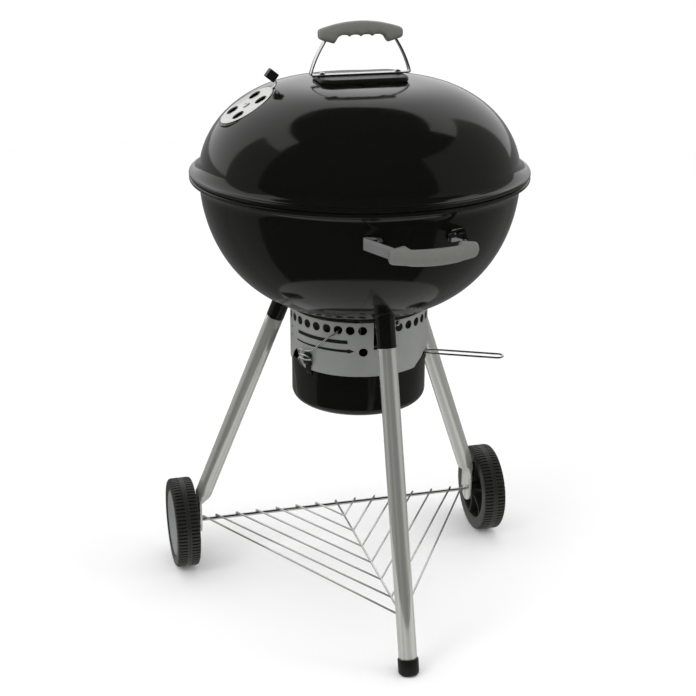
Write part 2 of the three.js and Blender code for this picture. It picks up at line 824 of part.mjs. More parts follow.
// ---------------------------------------------------------------- shelf
function makeShelf() {

	const axleWireZ = AXLE_Z + AXLE_R + GAP + SHELF_WIRE_R;
	const legY = FRONT_LEG_FOOT.y + ( FRONT_LEG_TOP.y - FRONT_LEG_FOOT.y ) * SHELF_NOSE_Z / SOCKET_Z;
	const noseY = legY + TUBE_R / Math.cos( Math.atan2( FRONT_LEG_TOP.y - FRONT_LEG_FOOT.y, SOCKET_Z ) ) + 2;
	const backY = AXLE_Y + AXLE_R + GAP + SHELF_WIRE_R;
	const fall = ( axleWireZ - SHELF_NOSE_Z ) / ( AXLE_Y - noseY );
	const wires = [];
	const hooked = ( x, frontY ) => {

		const front = new THREE.Vector3( 0, frontY, axleWireZ - fall * ( AXLE_Y - frontY ) );
		const back = new THREE.Vector3( x, backY, axleWireZ );
		wires.push( bar( front, back, SHELF_WIRE_R, 5 ) );
		wires.push( bar( back.clone().setZ( axleWireZ + 0.8 ), back.clone().setZ( axleWireZ - 7 ), SHELF_WIRE_R, 4 ) );

	};

	hooked( 0, noseY );
	for ( const side of [ - 1, 1 ] ) {

		hooked( side * SHELF_SIDE_X, noseY );
		for ( let i = 1; i <= SHELF_PAIRS; i ++ ) hooked( side * i * SHELF_PITCH, backY - 6 - i * SHELF_STEP );

	}

	return union( wires );

}

// ---------------------------------------------------------------- ash ring
function makeAshRing() {

	const innerR = RING_R - RING_WALL;
	let body = turned( [
		[ innerR, RING_BOTTOM_Z ],
		[ RING_R, RING_BOTTOM_Z ],
		[ RING_R, RING_TOP_Z ],
		[ innerR, RING_TOP_Z ],
		[ innerR, RING_BOTTOM_Z ]
	], 42 );
	const pierce = ( azimuth, z, radius, sides ) => {

		const from = outward( azimuth ).multiplyScalar( RING_R - 8 ).setZ( z );
		const to = outward( azimuth ).multiplyScalar( RING_R + 8 ).setZ( z );
		body = body.subtract( bar( from, to, radius, sides ) );

	};

	const window = ( low, high, lowZ, highZ ) => {

		body = body.subtract( sector( low, high, RING_R - 8, RING_R + 8, lowZ, highZ ) );

	};

	const frontWindow = [ - 93.5, - 76 ];
	for ( let i = 0; i < RING_HOLES; i ++ ) {

		pierce( RING_HOLE_START + i * RING_HOLE_SPAN / ( RING_HOLES - 1 ), RING_HOLE_Z, RING_HOLE_R, 6 );

	}

	pierce( - 101.8, 441.6, RING_HOLE_R, 6 );
	window( ...frontWindow, 445, RING_TOP_Z + 1 );
	window( - 182, - 156, RING_BOTTOM_Z - 1, 410 );
	window( - 173, - 162, RING_BOTTOM_Z, 426 );
	window( - 51, 26, RING_BOTTOM_Z - 1, 407 );
	window( - 40, 26, RING_BOTTOM_Z, 419 );
	for ( const side of [ - 1, 1 ] ) {

		const mirrored = new THREE.Vector3( side, 1, 1 );
		const low = REAR_LEG_AIM.clone().multiply( mirrored );
		const high = REAR_LEG_TOP.clone().lerp( REAR_LEG_AIM, - 0.1 ).multiply( mirrored );
		body = body.subtract( bar( low, high, SOCKET_R + 3 * GAP, 12 ) );

	}

	return body;

}

// Plate behind the gap of the ring that joins its two ends under the bowl.
function makeRingBracket() {

	const outerR = RING_R - RING_WALL - GAP;
	return sector( - 101, - 66, outerR - 2, outerR, 468, 487 );

}

function makeRingScrew( azimuth, baseR ) {

	const from = outward( azimuth ).multiplyScalar( baseR + GAP ).setZ( 482.5 );
	const to = outward( azimuth ).multiplyScalar( baseR + 4 ).setZ( 482.5 );
	return turnedAlong( from, to, [ [ 0, 0 ], [ 4.2, 0 ], [ 3.2, 1.8 ], [ 0, 2.4 ] ], 10 );

}

// ---------------------------------------------------------------- ash pot and its catches
function makePot() {

	const profile = [];
	const wall = 1.2;
	const corner = ( radius, floorZ, curve ) => {

		const points = [];
		for ( let i = 0; i <= 3; i ++ ) {

			const angle = Math.PI / 2 * i / 3;
			points.push( [
				radius - curve + curve * Math.sin( angle ),
				floorZ + curve - curve * Math.cos( angle )
			] );

		}

		return points;

	};

	profile.push( [ 0, POT_BOTTOM_Z ], ...corner( POT_R, POT_BOTTOM_Z, POT_CORNER ), [ POT_R, POT_TOP_Z ] );
	const inside = [ [ 0, POT_BOTTOM_Z + wall ], ...corner( POT_R - wall, POT_BOTTOM_Z + wall, POT_CORNER - wall ) ];
	profile.push( [ POT_R - wall, POT_TOP_Z ], ...inside.reverse() );
	return turned( profile );

}

const CLIP_PIVOT_AZIMUTH = - 122.5;
const CATCH_AZIMUTH = - 150.5;

// Catch on the pot that reaches up the outside of the ring.
function makePotCatch( turn ) {

	const azimuth = CATCH_AZIMUTH + turn;
	const tab = sector( azimuth - 5.5, azimuth + 5.5, RING_R + 0.5, RING_R + 2.4, 392, 431 );
	const foot = sector( azimuth - 5.5, azimuth + 5.5, POT_R + GAP, RING_R + 1.2, 392, 401 );
	return tab.add( foot );

}

// Spring wire hooked through a hole of the ring, resting over the catch.
function makePotClip( turn ) {

	const at = ( azimuth, radius, z ) => outward( azimuth + turn ).multiplyScalar( radius ).setZ( z );
	const across = RING_R + 4.4;
	return wire( [
		at( CLIP_PIVOT_AZIMUTH, RING_R - 4, RING_HOLE_Z ),
		at( CLIP_PIVOT_AZIMUTH, RING_R + 2.4, RING_HOLE_Z ),
		at( CLIP_PIVOT_AZIMUTH - 3, across - 1, RING_HOLE_Z - 5 ),
		at( CLIP_PIVOT_AZIMUTH - 12, across, RING_HOLE_Z - 22 ),
		at( CATCH_AZIMUTH + 6, across, 430 ),
		at( CATCH_AZIMUTH - 4, across, 417 )
	], 1.3, 4, 14 );

}

// ---------------------------------------------------------------- sweeper
function makeSweeperShaft() {

	const seat = RIM_Z - BOWL_DEPTH + SHEET;
	return turned( [
		[ 0, 404 ],
		[ SHAFT_R, 404 ],
		[ SHAFT_R, seat + 0.6 ],
		[ 13, seat + 0.9 ],
		[ 13, seat + 6 ],
		[ 8, seat + 8 ],
		[ 0, seat + 8 ]
	], 20 );

}

function makeBlade( azimuth ) {

	const low = 0.9;
	const high = 2.5;
	const curve = bowlCurve().filter( ( [ r ] ) => r < 112 );
	const under = curve.map( ( [ r, h ] ) => [ r, RIM_Z - h + SHEET + low ] );
	const over = curve.map( ( [ r, h ] ) => [ r, RIM_Z - h + SHEET + high ] );
	const skin = turned( [ ...under, ...over.reverse() ], 54 );
	return skin.intersect( sector( azimuth - 24, azimuth + 24, 13.4, 98, 470, 520 ) );

}

// Long narrow wire loop that turns the sweeper from outside the ring.
function makeLever() {

	const startR = 8;
	const slope = 4 / 122;
	const heightAt = ( r ) => 409.5 + slope * r;
	const out = outward( LEVER_AZIMUTH );
	const across = outward( LEVER_AZIMUTH + 90 );
	const place = ( r, offset ) => out.clone().multiplyScalar( r )
		.addScaledVector( across, offset )
		.setZ( heightAt( r ) + 5 - LEVER_WIRE_R );
	const bend = LEVER_REACH - LEVER_HALF_WIDTH - LEVER_WIRE_R;
	const points = [
		place( startR, LEVER_NECK_HALF ),
		place( LEVER_NECK_R, LEVER_NECK_HALF ),
		place( LEVER_LOOP_R, LEVER_HALF_WIDTH )
	];
	for ( let i = 0; i <= 6; i ++ ) {

		const angle = Math.PI / 2 - Math.PI * i / 6;
		points.push( place( bend + LEVER_HALF_WIDTH * Math.cos( angle ), LEVER_HALF_WIDTH * Math.sin( angle ) ) );

	}

	points.push(
		place( LEVER_LOOP_R, - LEVER_HALF_WIDTH ),
		place( LEVER_NECK_R, - LEVER_NECK_HALF ),
		place( startR, - LEVER_NECK_HALF )
	);
	const loop = wire( points, LEVER_WIRE_R, 4, 44 );
	const collar = turned( [
		[ SHAFT_R + GAP, 406.5 ],
		[ 10, 406.5 ],
		[ 10, 416 ],
		[ SHAFT_R + GAP, 416 ],
		[ SHAFT_R + GAP, 406.5 ]
	], 16 );
	const clear = bar( new THREE.Vector3( 0, 0, 400 ), new THREE.Vector3( 0, 0, 425 ), SHAFT_R + GAP, 16 );
	return loop.add( collar ).subtract( clear );

}

// Nut that holds the lever on the shaft's end.
function makeSweeperNut() {

	const boreR = ( SHAFT_R + GAP ) / Math.cos( Math.PI / 6 );
	return turned( [ [ boreR, 401 ], [ 8, 401 ], [ 8, 406 ], [ boreR, 406 ], [ boreR, 401 ] ], 6 );

}

// ---------------------------------------------------------------- grates
function makeGrate( radius, z, ringWireR, barWireR, pitch ) {

	const bodies = [ hoop( radius, ringWireR, z ) ];
	for ( let x = - Math.floor( radius / pitch ) * pitch; x < radius - 2; x += pitch ) {

		const reach = Math.sqrt( radius * radius - x * x );
		if ( reach < 20 ) continue;
		bodies.push( bar( new THREE.Vector3( x, - reach, z ), new THREE.Vector3( x, reach, z ), barWireR, 4 ) );

	}

	const crossZ = z - barWireR - 1;
	for ( const y of [ - radius * 0.5, radius * 0.5 ] ) {

		const reach = Math.sqrt( radius * radius - y * y );
		bodies.push( bar( new THREE.Vector3( - reach, y, crossZ ), new THREE.Vector3( reach, y, crossZ ), barWireR, 4 ) );

	}

	return union( bodies );

}

// Ledge inside the bowl that a grate's ring rests on.
function makeGrateTab( azimuth, grateR, topZ ) {

	const outline = new THREE.Shape( [
		new THREE.Vector2( grateR - 9, topZ - 2 ),
		new THREE.Vector2( grateR + 14, topZ - 2 ),
		new THREE.Vector2( grateR + 14, topZ ),
		new THREE.Vector2( grateR - 9, topZ )
	] );
	const ledge = slab( outline, 16 ).rotate( [ 0, 0, azimuth ] );
	return ledge.intersect( filledBowl( - SHEET - GAP ) );

}

// ---------------------------------------------------------------- assembly
const kettle = new THREE.Group();

kettle.add( part( 'bowl', makeBowl(), enamel ) );
kettle.add( part( 'lid', makeLid(), enamel ) );
kettle.add( part( 'lid_hook', makeLidHook(), chrome ) );

damperGroup.add( part( 'lid_damper', makeDamper(), aluminium ) );
damperGroup.add( part( 'lid_damper_rivet', makeDamperRivet(), aluminium ) );
const tabAt = new THREE.Vector3( DAMPER_R + 10, 0, TAB_Z );
damperGroup.add( part( 'lid_damper_tab', boxSolid( ...TAB_SIZE, tabAt ), blackPlastic ) );
kettle.add( damperGroup );

const lidTop = new THREE.Group();
lidTop.position.z = LID_HANDLE_Z;
const lidBaseZ = GAP + STRAP_THICK / 2;
const lidBase = [ - 1, 1 ].map( ( side ) => new THREE.Vector2( side * STRAP_BASE_HALF, lidBaseZ ) );
lidTop.add( part( 'lid_heat_shield', makeHeatShield(), blackPlastic ) );
lidTop.add( part( 'lid_handle_strap', makeStrap( lidBase, STRAP_WIDE, - 5 ), chrome ) );
lidTop.add( part( 'lid_handle_grip', makeGrip(), plastic ) );
const lidBoltHeadZ = lidBaseZ + STRAP_THICK / 2 + GAP;
lidTop.add( part( 'lid_handle_bolt_left', makeHandleBolt( - BOLT_OFFSET, lidBoltHeadZ, - 14 ), chrome ) );
lidTop.add( part( 'lid_handle_bolt_right', makeHandleBolt( BOLT_OFFSET, lidBoltHeadZ, - 14 ), chrome ) );
kettle.add( lidTop );

const sideGroup = new THREE.Group();
sideGroup.applyMatrix4( sideBasis );
sideGroup.add( part( 'side_handle_bracket_left', makeSideBracket( - 1 ), chrome ) );
sideGroup.add( part( 'side_handle_bracket_right', makeSideBracket( 1 ), chrome ) );
const sideGripPivot = GRIP_FOOT + 10;
const sideGrip = makeGrip()
	.translate( [ 0, 0, - sideGripPivot ] )
	.rotate( [ SIDE_GRIP_TWIST, 0, 0 ] )
	.translate( [ 0, 0, sideGripPivot + 4 ] );
sideGroup.add( part( 'side_handle_grip', sideGrip, plastic ) );
const sideDrop = bowlRadius( SIDE_HANDLE_Z ) * ( 1 - Math.cos( Math.asin( BOLT_OFFSET / bowlRadius( SIDE_HANDLE_Z ) ) ) );
const sideBoltHeadZ = STRAP_THICK - sideDrop + 2.2;
sideGroup.add( part( 'side_handle_bolt_left', makeHandleBolt( - BOLT_OFFSET, sideBoltHeadZ, - 20 ), chrome ) );
sideGroup.add( part( 'side_handle_bolt_right', makeHandleBolt( BOLT_OFFSET, sideBoltHeadZ, - 20 ), chrome ) );
kettle.add( sideGroup );

kettle.add( part( 'cooking_grate', makeGrate( COOKING_GRATE_R, COOKING_GRATE_Z, 3, 2, 26 ), chrome ) );
kettle.add( part( 'charcoal_grate', makeGrate( CHARCOAL_GRATE_R, CHARCOAL_GRATE_Z, 3, 2.5, 28 ), satinSteel ) );
GRATE_TAB_AZIMUTHS.forEach( ( azimuth, i ) => {

	const upper = makeGrateTab( azimuth, COOKING_GRATE_R, COOKING_GRATE_Z - 3 - GAP );
	const lower = makeGrateTab( azimuth, CHARCOAL_GRATE_R, CHARCOAL_GRATE_Z - 4 - GAP );
	kettle.add( part( `cooking_grate_tab_${ i + 1 }`, upper, enamel ) );
	kettle.add( part( `charcoal_grate_tab_${ i + 1 }`, lower, enamel ) );

} );

kettle.add( part( 'leg_socket_front', makeSocket( FRONT_LEG_TOP, FRONT_LEG_FOOT, FRONT_SOCKET_DROP ), enamel ) );
kettle.add( part( 'leg_front', makeFrontLeg(), aluminium ) );
kettle.add( part( 'foot_cap', makeFootCap(), blackPlastic ) );
const rearSocket = makeSocket( REAR_LEG_TOP, REAR_LEG_AIM, REAR_SOCKET_DROP );
for ( const [ name, side ] of [ [ 'left', - 1 ], [ 'right', 1 ] ] ) {

	const socket = side < 0 ? rearSocket.mirror( [ 1, 0, 0 ] ) : rearSocket;
	kettle.add( part( `leg_socket_rear_${ name }`, socket, enamel ) );
	kettle.add( part( `leg_rear_${ name }`, makeRearLeg( side ), aluminium ) );
	kettle.add( part( `wheel_${ name }`, makeWheel( side ), tyre ) );
	kettle.add( part( `hub_cap_${ name }`, makeHubCap( side ), capGrey ) );

}

const axleEnd = ( side ) => new THREE.Vector3( side * AXLE_HALF, AXLE_Y, AXLE_Z );
kettle.add( part( 'axle', bar( axleEnd( - 1 ), axleEnd( 1 ), AXLE_R, 12 ), chrome ) );
kettle.add( part( 'shelf', makeShelf(), chrome ) );

kettle.add( part( 'ash_ring', makeAshRing(), satinSteel ) );
kettle.add( part( 'ring_bracket', makeRingBracket(), blackPlastic ) );
kettle.add( part( 'ring_screw_left', makeRingScrew( - 90.6, RING_R - RING_WALL ), chrome ) );
kettle.add( part( 'ring_screw_right', makeRingScrew( - 72.5, RING_R ), chrome ) );
kettle.add( part( 'ash_pot', makePot(), enamel ) );
for ( const [ name, turn ] of [ [ 'front', 0 ], [ 'rear', 240 ] ] ) {

	kettle.add( part( `pot_catch_${ name }`, makePotCatch( turn ), blackPlastic ) );
	kettle.add( part( `pot_clip_${ name }`, makePotClip( turn ), chrome ) );

}

kettle.add( part( 'sweeper_shaft', makeSweeperShaft(), satinSteel ) );
for ( let i = 0; i < BLADE_COUNT; i ++ ) {

	const azimuth = 30 - 36 + i * 360 / BLADE_COUNT;
	kettle.add( part( `sweeper_blade_${ i + 1 }`, makeBlade( azimuth ), satinSteel ) );

}

kettle.add( part( 'sweeper_lever', makeLever(), chrome ) );
kettle.add( part( 'sweeper_nut', makeSweeperNut(), chrome ) );

const box = new THREE.Box3().setFromObject( kettle, true );
const centre = box.getCenter( new THREE.Vector3() );
kettle.position.set( - centre.x, - centre.y, - box.min.z );

const group = new THREE.Group();
group.add( kettle );
group.updateMatrixWorld( true );

export default group;
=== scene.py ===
"""Kettle charcoal grill: the visible pieces, their materials, the light and the camera.

Lengths in this script are millimetres about the kettle's axis, with the ground at z = 0, as in
the CAD source. mesh_object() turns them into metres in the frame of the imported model.
"""

import json
import math

import bpy
from mathutils import Matrix, Vector

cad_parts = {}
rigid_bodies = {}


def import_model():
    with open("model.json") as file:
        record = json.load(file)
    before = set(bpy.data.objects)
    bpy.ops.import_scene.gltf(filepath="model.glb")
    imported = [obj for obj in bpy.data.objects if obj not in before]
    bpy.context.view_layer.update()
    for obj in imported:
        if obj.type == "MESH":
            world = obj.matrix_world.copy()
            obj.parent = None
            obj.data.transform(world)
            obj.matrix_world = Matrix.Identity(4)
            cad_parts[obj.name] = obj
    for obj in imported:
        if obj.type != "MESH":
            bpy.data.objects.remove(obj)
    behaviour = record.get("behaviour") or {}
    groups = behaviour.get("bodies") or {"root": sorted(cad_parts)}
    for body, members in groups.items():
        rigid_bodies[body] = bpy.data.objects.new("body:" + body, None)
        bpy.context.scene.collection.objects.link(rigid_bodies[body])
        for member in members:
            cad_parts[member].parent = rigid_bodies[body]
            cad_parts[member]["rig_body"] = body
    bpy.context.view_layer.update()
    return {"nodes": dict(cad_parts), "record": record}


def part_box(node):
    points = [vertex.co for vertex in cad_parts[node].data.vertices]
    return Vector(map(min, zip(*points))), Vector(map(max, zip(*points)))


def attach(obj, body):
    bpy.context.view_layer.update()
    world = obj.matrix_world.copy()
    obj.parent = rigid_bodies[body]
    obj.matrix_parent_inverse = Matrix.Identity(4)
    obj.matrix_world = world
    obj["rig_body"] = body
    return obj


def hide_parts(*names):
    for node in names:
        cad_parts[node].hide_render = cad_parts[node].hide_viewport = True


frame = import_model()

MM = 0.001
TAU = 2 * math.pi
X_AXIS, Y_AXIS, Z_AXIS = Vector((1, 0, 0)), Vector((0, 1, 0)), Vector((0, 0, 1))
ORIGIN = Vector((0, 0, 0))
bowl_low, bowl_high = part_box("bowl")
AXIS = Vector(((bowl_low.x + bowl_high.x) / 2, (bowl_low.y + bowl_high.y) / 2, 0))

# ---- dimensions, as in the CAD source
GAP = 0.3
SHEET = 2
RIM_Z = 692
WALL_R = 239
FLANGE_R = 253.5
FLANGE_RISE = 24
BEAD_R = 3.4
BOWL_DEPTH, BOWL_SIDE_POWER, BOWL_BASE_POWER = 212.5, 2.6, 2.03
LID_RISE, LID_SIDE_POWER, LID_TOP_POWER = 143, 2.73, 1.93
LID_CROWN_R, LID_CROWN_POWER = 150, 4.5
SHELL_TURNS = 168
SHELL_STEPS = 56

TUBE_R = 13.7
TUBE_BORE_R = 12.5
SOCKET_R = 14
FRONT_LEG_TOP = Vector((0, -147.6, 484))
FRONT_LEG_FOOT = Vector((0, -286.6, 0))
REAR_LEG_TOP = Vector((102.4, 70.7, 484))
REAR_LEG_AIM = Vector((250.5, 138.6, 74.4))
FRONT_SOCKET_DROP = 20
REAR_SOCKET_DROP = 40
FOOT_CAP_R = 15.6
TONGUE_X, TONGUE_THICK, TONGUE_WIDE = 238.4, 5.4, 42
TONGUE_TOP_Z, TONGUE_BOTTOM_Z = 112, 55
REAR_LEG_BEND_Z = 130

WHEEL_R = 74.4
WHEEL_IN_X, WHEEL_OUT_X = 246.7, 285.3
HUB_CAP_R, HUB_CAP_SEAT_X = 55.5, 281
AXLE_R, AXLE_Y, AXLE_Z, AXLE_HALF = 3, 138.6, 74.4, 279

RING_R, RING_WALL = 106.1, 1.2
RING_BOTTOM_Z, RING_TOP_Z = 403, 487.5
RING_HOLE_Z, RING_HOLE_R = 475.5, 6.7
POT_R, POT_TOP_Z, POT_BOTTOM_Z = 104, 408, 335
LEVER_AZIMUTH, LEVER_REACH = -31, 228.5

LID_HANDLE_Z = 835
GRIP_FOOT, GRIP_RISE, GRIP_HALF, GRIP_DEPTH, GRIP_END = 48, 77, 62, 22, 5
STRAP_WIDE, STRAP_THICK = 13, 2.2
STRAP_BASE_HALF, STRAP_TOP_HALF = 75, 54
BOLT_OFFSET = 57
SIDE_HANDLE_AZIMUTH, SIDE_HANDLE_Z = -86.5, 648.5
SIDE_STRAP_WIDE, SIDE_FOOT_START, SIDE_GRIP_TWIST = 18, 47, 28

DAMPER_AZIMUTH, DAMPER_REACH = 181, 171.8
DAMPER_SEAT_R, DAMPER_R = 46.5, 44
DAMPER_HOLE_R, DAMPER_HOLE_PITCH_R = 9.5, 27.5
DAMPER_LIFT, DAMPER_THICK = -4.2, 1.2


# ---- shapes: (points, faces) pairs
def polar(radius, azimuth, z=0.0):
    angle = math.radians(azimuth)
    return Vector((radius * math.cos(angle), radius * math.sin(angle), z))


def spread(start, end, steps):
    return [start + (end - start) * i / steps for i in range(steps + 1)]


def join(*shapes):
    points, faces = [], []
    for shape_points, shape_faces in shapes:
        start = len(points)
        points += shape_points
        faces += [tuple(start + i for i in face) for face in shape_faces]
    return points, faces


def moved(shape, matrix):
    return [matrix @ point for point in shape[0]], shape[1]


def mirrored(shape):
    return [Vector((-p.x, p.y, p.z)) for p in shape[0]], [tuple(reversed(face)) for face in shape[1]]


def loft(rings, loop=False):
    """Skin through rings of equal counts: capped at both ends, or with the last ring joined to the first."""
    count, total = len(rings[0]), len(rings)
    points = [point for ring in rings for point in ring]
    faces = []
    for k in range(total if loop else total - 1):
        low, high = k * count, (k + 1) % total * count
        for i in range(count):
            j = (i + 1) % count
            faces.append((low + i, low + j, high + j, high + i))
    if not loop:
        faces.append(tuple(range(count))[::-1])
        faces.append(tuple((total - 1) * count + i for i in range(count)))
    return points, faces


def revolve(profile, turns=96, closed=False):
    """Surface of revolution about the z axis from (radius, height) points; a zero radius is a pole."""
    points, faces, rows = [], [], []
    for radius, height in profile:
        if radius < 1e-6:
            rows.append([len(points)] * turns)
            points.append(Vector((0, 0, height)))
        else:
            rows.append(list(range(len(points), len(points) + turns)))
            points += [polar(radius, 360 * i / turns, height) for i in range(turns)]
    pairs = list(zip(rows, rows[1:])) + ([(rows[-1], rows[0])] if closed else [])
    for low, high in pairs:
        for i in range(turns):
            j = (i + 1) % turns
            face = tuple(dict.fromkeys((low[i], low[j], high[j], high[i])))
            if len(face) > 2:
                faces.append(face)
    return points, faces


def basis(origin, x_axis, y_axis, z_axis):
    matrix = Matrix((x_axis, y_axis, z_axis)).transposed().to_4x4()
    matrix.translation = origin
    return matrix


def aimed(origin, direction):
    """Frame whose z axis runs along a direction."""
    matrix = direction.normalized().to_track_quat("Z", "Y").to_matrix().to_4x4()
    matrix.translation = origin
    return matrix


def fillet_path(points, radius, steps=6):
    """Polyline with its corners rounded."""
    result = [points[0].copy()]
    for before, point, after in zip(points, points[1:], points[2:]):
        cut_in = min(radius, (before - point).length * 0.49)
        cut_out = min(radius, (after - point).length * 0.49)
        start = point + (before - point).normalized() * cut_in
        end = point + (after - point).normalized() * cut_out
        for t in spread(0, 1, steps):
            result.append(start * (1 - t) ** 2 + point * 2 * t * (1 - t) + end * t * t)
    result.append(points[-1].copy())
    return result


def smooth_path(points, steps=8):
    """Catmull-Rom curve through points."""
    result = []
    for i in range(len(points) - 1):
        p0 = points[max(i - 1, 0)]
        p1, p2 = points[i], points[i + 1]
        p3 = points[min(i + 2, len(points) - 1)]
        for k in range(steps):
            t = k / steps
            result.append(0.5 * (2 * p1 + (p2 - p0) * t + (2 * p0 - 5 * p1 + 4 * p2 - p3) * t * t
                                 + (3 * p1 - p0 - 3 * p2 + p3) * t ** 3))
    result.append(points[-1].copy())
    return result


def tube(points, radius, sides=12, closed=False):
    """Round wire along a path, with rounded ends unless it is closed."""
    count = len(points)
    if closed:
        tangents = [(points[(i + 1) % count] - points[i - 1]).normalized() for i in range(count)]
    else:
        tangents = [(points[min(i + 1, count - 1)] - points[max(i - 1, 0)]).normalized() for i in range(count)]
    seed = Z_AXIS if abs(tangents[0].z) < 0.9 else X_AXIS
    normals = [(seed - tangents[0] * seed.dot(tangents[0])).normalized()]
    for before, after in zip(tangents, tangents[1:]):
        normal = before.rotation_difference(after) @ normals[-1]
        normals.append((normal - after * normal.dot(after)).normalized())
    stations = list(zip(points, tangents, normals, [radius] * count))
    if not closed:
        for degrees in (25, 50, 75):
            out, small = polar(radius, degrees).yx
            stations.insert(0, (points[0] - tangents[0] * out, tangents[0], normals[0], small))
            stations.append((points[-1] + tangents[-1] * out, tangents[-1], normals[-1], small))
    rings = []
    for centre, tangent, normal, r in stations:
        side = tangent.cross(normal)
        rings.append([centre + (normal * math.cos(TAU * k / sides) + side * math.sin(TAU * k / sides)) * r
                      for k in range(sides)])
    return loft(rings, loop=closed)


BAR_EDGE = 0.55


def strip(points, across, width, thick, round_start=0.0):
    """Flat bar along a path with softened edges; across points along its width."""
    count, edge = len(points), BAR_EDGE
    rings = []
    run = 0.0
    for i, centre in enumerate(points):
        tangent = (points[min(i + 1, count - 1)] - points[max(i - 1, 0)]).normalized()
        normal = tangent.cross(across).normalized()
        if i:
            run += (centre - points[i - 1]).length
        half = width / 2
        if run < round_start:
            half *= max(0.08, math.sqrt(1 - (1 - run / round_start) ** 2))
        deep = thick / 2
        outline = [(half - edge, deep), (half - edge * 0.3, deep - edge * 0.3), (half, deep - edge),
                   (half, edge - deep), (half - edge * 0.3, edge * 0.3 - deep), (half - edge, -deep)]
        outline += [(-a, -b) for a, b in outline]
        rings.append([centre + across * a + normal * b for a, b in outline])
    return loft(rings)


def rounded_rectangle(half_x, half_y, corner, z, steps=10):
    points = []
    for quarter, (sx, sy) in enumerate(((1, 1), (-1, 1), (-1, -1), (1, -1))):
        centre = Vector((sx * (half_x - corner), sy * (half_y - corner), z))
        points += [centre + polar(corner, angle) for angle in spread(90 * quarter, 90 * quarter + 90, steps)]
    return points


def superellipse(half_a, half_b, power, count):
    points = []
    for i in range(count):
        c, s = math.cos(TAU * i / count), math.sin(TAU * i / count)
        points.append((half_a * math.copysign(abs(c) ** (2 / power), c),
                       half_b * math.copysign(abs(s) ** (2 / power), s)))
    return points


def curved_plate(azimuths, radius, thick, low_at, high_at):
    """Thin plate bent round the ring, between a lower and an upper edge given at each azimuth."""
    rings = []
    for azimuth in azimuths:
        low, high = low_at(azimuth), high_at(azimuth)
        rings.append([polar(radius, azimuth, low), polar(radius + thick, azimuth, low),
                      polar(radius + thick, azimuth, high), polar(radius, azimuth, high)])
    return loft(rings)


# ---- materials
class Nodes:
    """Small helper that builds one node material."""

    def __init__(self, name, color, roughness, metallic=0.0, **sockets):
        self.material = bpy.data.materials.new(name)
        self.material.use_nodes = True
        self.tree = self.material.node_tree
        self.shader = self.tree.nodes["Principled BSDF"]
        self.color = color
        self.roughness = roughness
        self.preset(self.shader, Base_Color=(*color, 1), Roughness=roughness, Metallic=metallic, **sockets)
        self.coordinates = self.tree.nodes.new("ShaderNodeTexCoord")
        self.height = None

    def preset(self, node, **sockets):
        for socket, value in sockets.items():
            node.inputs[socket.replace("_", " ")].default_value = value
        return node

    def add(self, kind, **sockets):
        return self.preset(self.tree.nodes.new("ShaderNode" + kind), **sockets)

    def link(self, output, socket):
        self.tree.links.new(output, socket)

    def noise(self, scale, detail=3.0, stretch=(1, 1, 1), source="Object"):
        mapping = self.add("Mapping", Scale=stretch)
        self.link(self.coordinates.outputs[source], mapping.inputs["Vector"])
        texture = self.add("TexNoise", Scale=scale, Detail=detail)
        self.link(mapping.outputs["Vector"], texture.inputs["Vector"])
        return texture.outputs["Fac"]

    def remap(self, value, low, high):
        """Stretches the middle of a noise value's range to low..high."""
        node = self.add("MapRange", From_Min=0.3, From_Max=0.7, To_Min=low, To_Max=high)
        self.link(value, node.inputs["Value"])
        return node.outputs["Result"]

    def vary_color(self, value, amount):
        mix = self.add("Mix")
        mix.data_type = "RGBA"
        dark = [c * (1 - amount) for c in self.color]
        light = [min(1.0, c * (1 + amount)) for c in self.color]
        mix.inputs["A"].default_value = (*dark, 1)
        mix.inputs["B"].default_value = (*light, 1)
        self.link(self.remap(value, 0, 1), mix.inputs["Factor"])
        self.link(mix.outputs["Result"], self.shader.inputs["Base Color"])

    def vary_roughness(self, value, amount):
        low, high = self.roughness * (1 - amount), self.roughness * (1 + amount)
        self.link(self.remap(value, low, high), self.shader.inputs["Roughness"])

    def bump(self, value, strength, depth_mm):
        node = self.add("Bump", Strength=strength, Distance=depth_mm * MM)
        self.link(value, node.inputs["Height"])
        if self.height:
            self.link(self.height, node.inputs["Normal"])
        self.height = node.outputs["Normal"]
        self.link(self.height, self.shader.inputs["Normal"])


def make_enamel():
    nodes = Nodes("black_enamel", (0.0042, 0.0046, 0.0034), 0.11, Specular_IOR_Level=0.36)
    nodes.vary_color(nodes.noise(900, 4), 0.35)
    nodes.vary_roughness(nodes.noise(60, 5), 0.25)
    nodes.bump(nodes.noise(240, 2), 0.05, 0.12)
    return nodes.material


def make_moulded(name, color, roughness, grain_scale, depth, specular=0.5):
    nodes = Nodes(name, color, roughness, Specular_IOR_Level=specular)
    nodes.vary_color(nodes.noise(140, 5), 0.035)
    nodes.vary_roughness(nodes.noise(320, 4), 0.2)
    nodes.bump(nodes.noise(grain_scale, 3), 0.35, depth)
    return nodes.material


def make_metal(name, color, roughness, stretch, scale, depth, metallic=1.0, tint=0.05, wear=0.3):
    """Metal brushed along the axis with the small stretch; tint and wear vary its colour and roughness."""
    nodes = Nodes(name, color, roughness, metallic)
    brushed = nodes.noise(scale, 6, stretch)
    nodes.vary_color(nodes.noise(35, 4), tint)
    nodes.vary_roughness(brushed, wear)
    nodes.bump(brushed, 0.25, depth)
    return nodes.material


